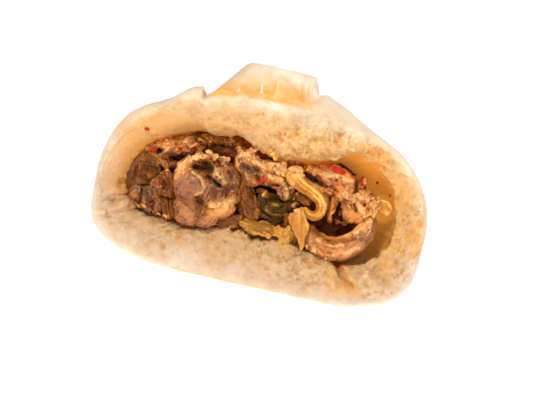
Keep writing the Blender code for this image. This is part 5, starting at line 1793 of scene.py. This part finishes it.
def studio_air():
    """White air that is dimmer on the side of the torn face, so that its hollows stay dark."""
    world = bpy.data.worlds.new("studio_air")
    world.use_nodes = True
    tree = world.node_tree
    back = tree.nodes["Background"]
    way = node(tree, "ShaderNodeTexCoord")
    split = node(tree, "ShaderNodeSeparateXYZ")
    tree.links.new(way.outputs["Generated"], split.inputs[0])
    behind = stretch(tree, split.outputs["Y"], -0.35, 0.6, FRONT_AIR, BACK_AIR)
    above = stretch(tree, split.outputs["Z"], 0.25, 0.9, 0, TOP_AIR)
    aside = stretch(tree, split.outputs["X"], -0.7, 0.4, LEFT_AIR, 1)
    glow = times(tree, reckon(tree, "ADD", behind, above), aside)
    seen = node(tree, "ShaderNodeLightPath").outputs["Is Camera Ray"]
    lit = times(tree, glow, reckon(tree, "SUBTRACT", 1.0, seen))
    strength = reckon(tree, "ADD", lit, times(tree, seen, SEEN_AIR))
    tree.links.new(strength, back.inputs["Strength"])
    back.inputs["Color"].default_value = AIR_COLOUR
    return world


def build_floor():
    deselect_all()
    bpy.ops.mesh.primitive_grid_add(x_subdivisions=FLOOR_PARTS, y_subdivisions=FLOOR_PARTS,
                                    size=FLOOR_SIZE, location=(0, FLOOR_BACK, 0))
    floor = bpy.context.object
    bpy.ops.object.transform_apply(location=True)
    spots = points_of(floor)
    spots[:, 2] = -FLOOR_DROP
    move_points(floor, spots)
    made, tree, surface = shader("pale_floor")
    mottle, _ = speckle(tree, 3, 40)
    tree.links.new(mix_colour(tree, mottle, (0.91, 0.91, 0.91), (0.93, 0.928, 0.925)),
                   surface.inputs["Base Color"])
    constants(surface, Roughness=0.7, Specular_IOR_Level=0.1, Emission_Color=(1, 1, 1, 1),
              Emission_Strength=FLOOR_GLOW)
    floor.data.materials.append(made)
    floor.name = "floor"
    bpy.ops.object.shade_smooth()


def build_stage(scene):
    build_floor()
    scene.world = studio_air()
    for name, (place, size, power, colour) in LAMPS.items():
        soft_light(name, place, size, power, colour)
    camera = bpy.data.cameras.new("camera")
    camera.lens, camera.sensor_width = CAMERA_LENS, CAMERA_SENSOR
    camera.clip_start, camera.clip_end = CAMERA_CLIP
    made = bpy.data.objects.new("camera", camera)
    scene.collection.objects.link(made)
    place, side, top, forward = camera_frame()
    made.matrix_world = Matrix.Translation(place) @ Matrix((side, top, -forward)).transposed().to_4x4()
    scene.camera = made
    scene.view_settings.view_transform = "Standard"


STEPS = (BUN_OT_dough, BUN_OT_packed_filling, BUN_OT_pork, BUN_OT_cabbage, BUN_OT_bits, BUN_OT_stage)
CLASSES = (BunSizes, BunColours, *STEPS, BUN_PT_panel)


def register():
    for made in CLASSES:
        bpy.utils.register_class(made)
    bpy.types.Scene.bun_sizes = bpy.props.PointerProperty(type=BunSizes)
    bpy.types.Scene.bun_colours = bpy.props.PointerProperty(type=BunColours)


def unregister():
    del bpy.types.Scene.bun_colours
    del bpy.types.Scene.bun_sizes
    for made in reversed(CLASSES):
        bpy.utils.unregister_class(made)


def main():
    register()
    for step in STEPS:
        group, name = step.bl_idname.split(".")
        getattr(getattr(bpy.ops, group), name)()


if __name__ == "__main__":
    main()
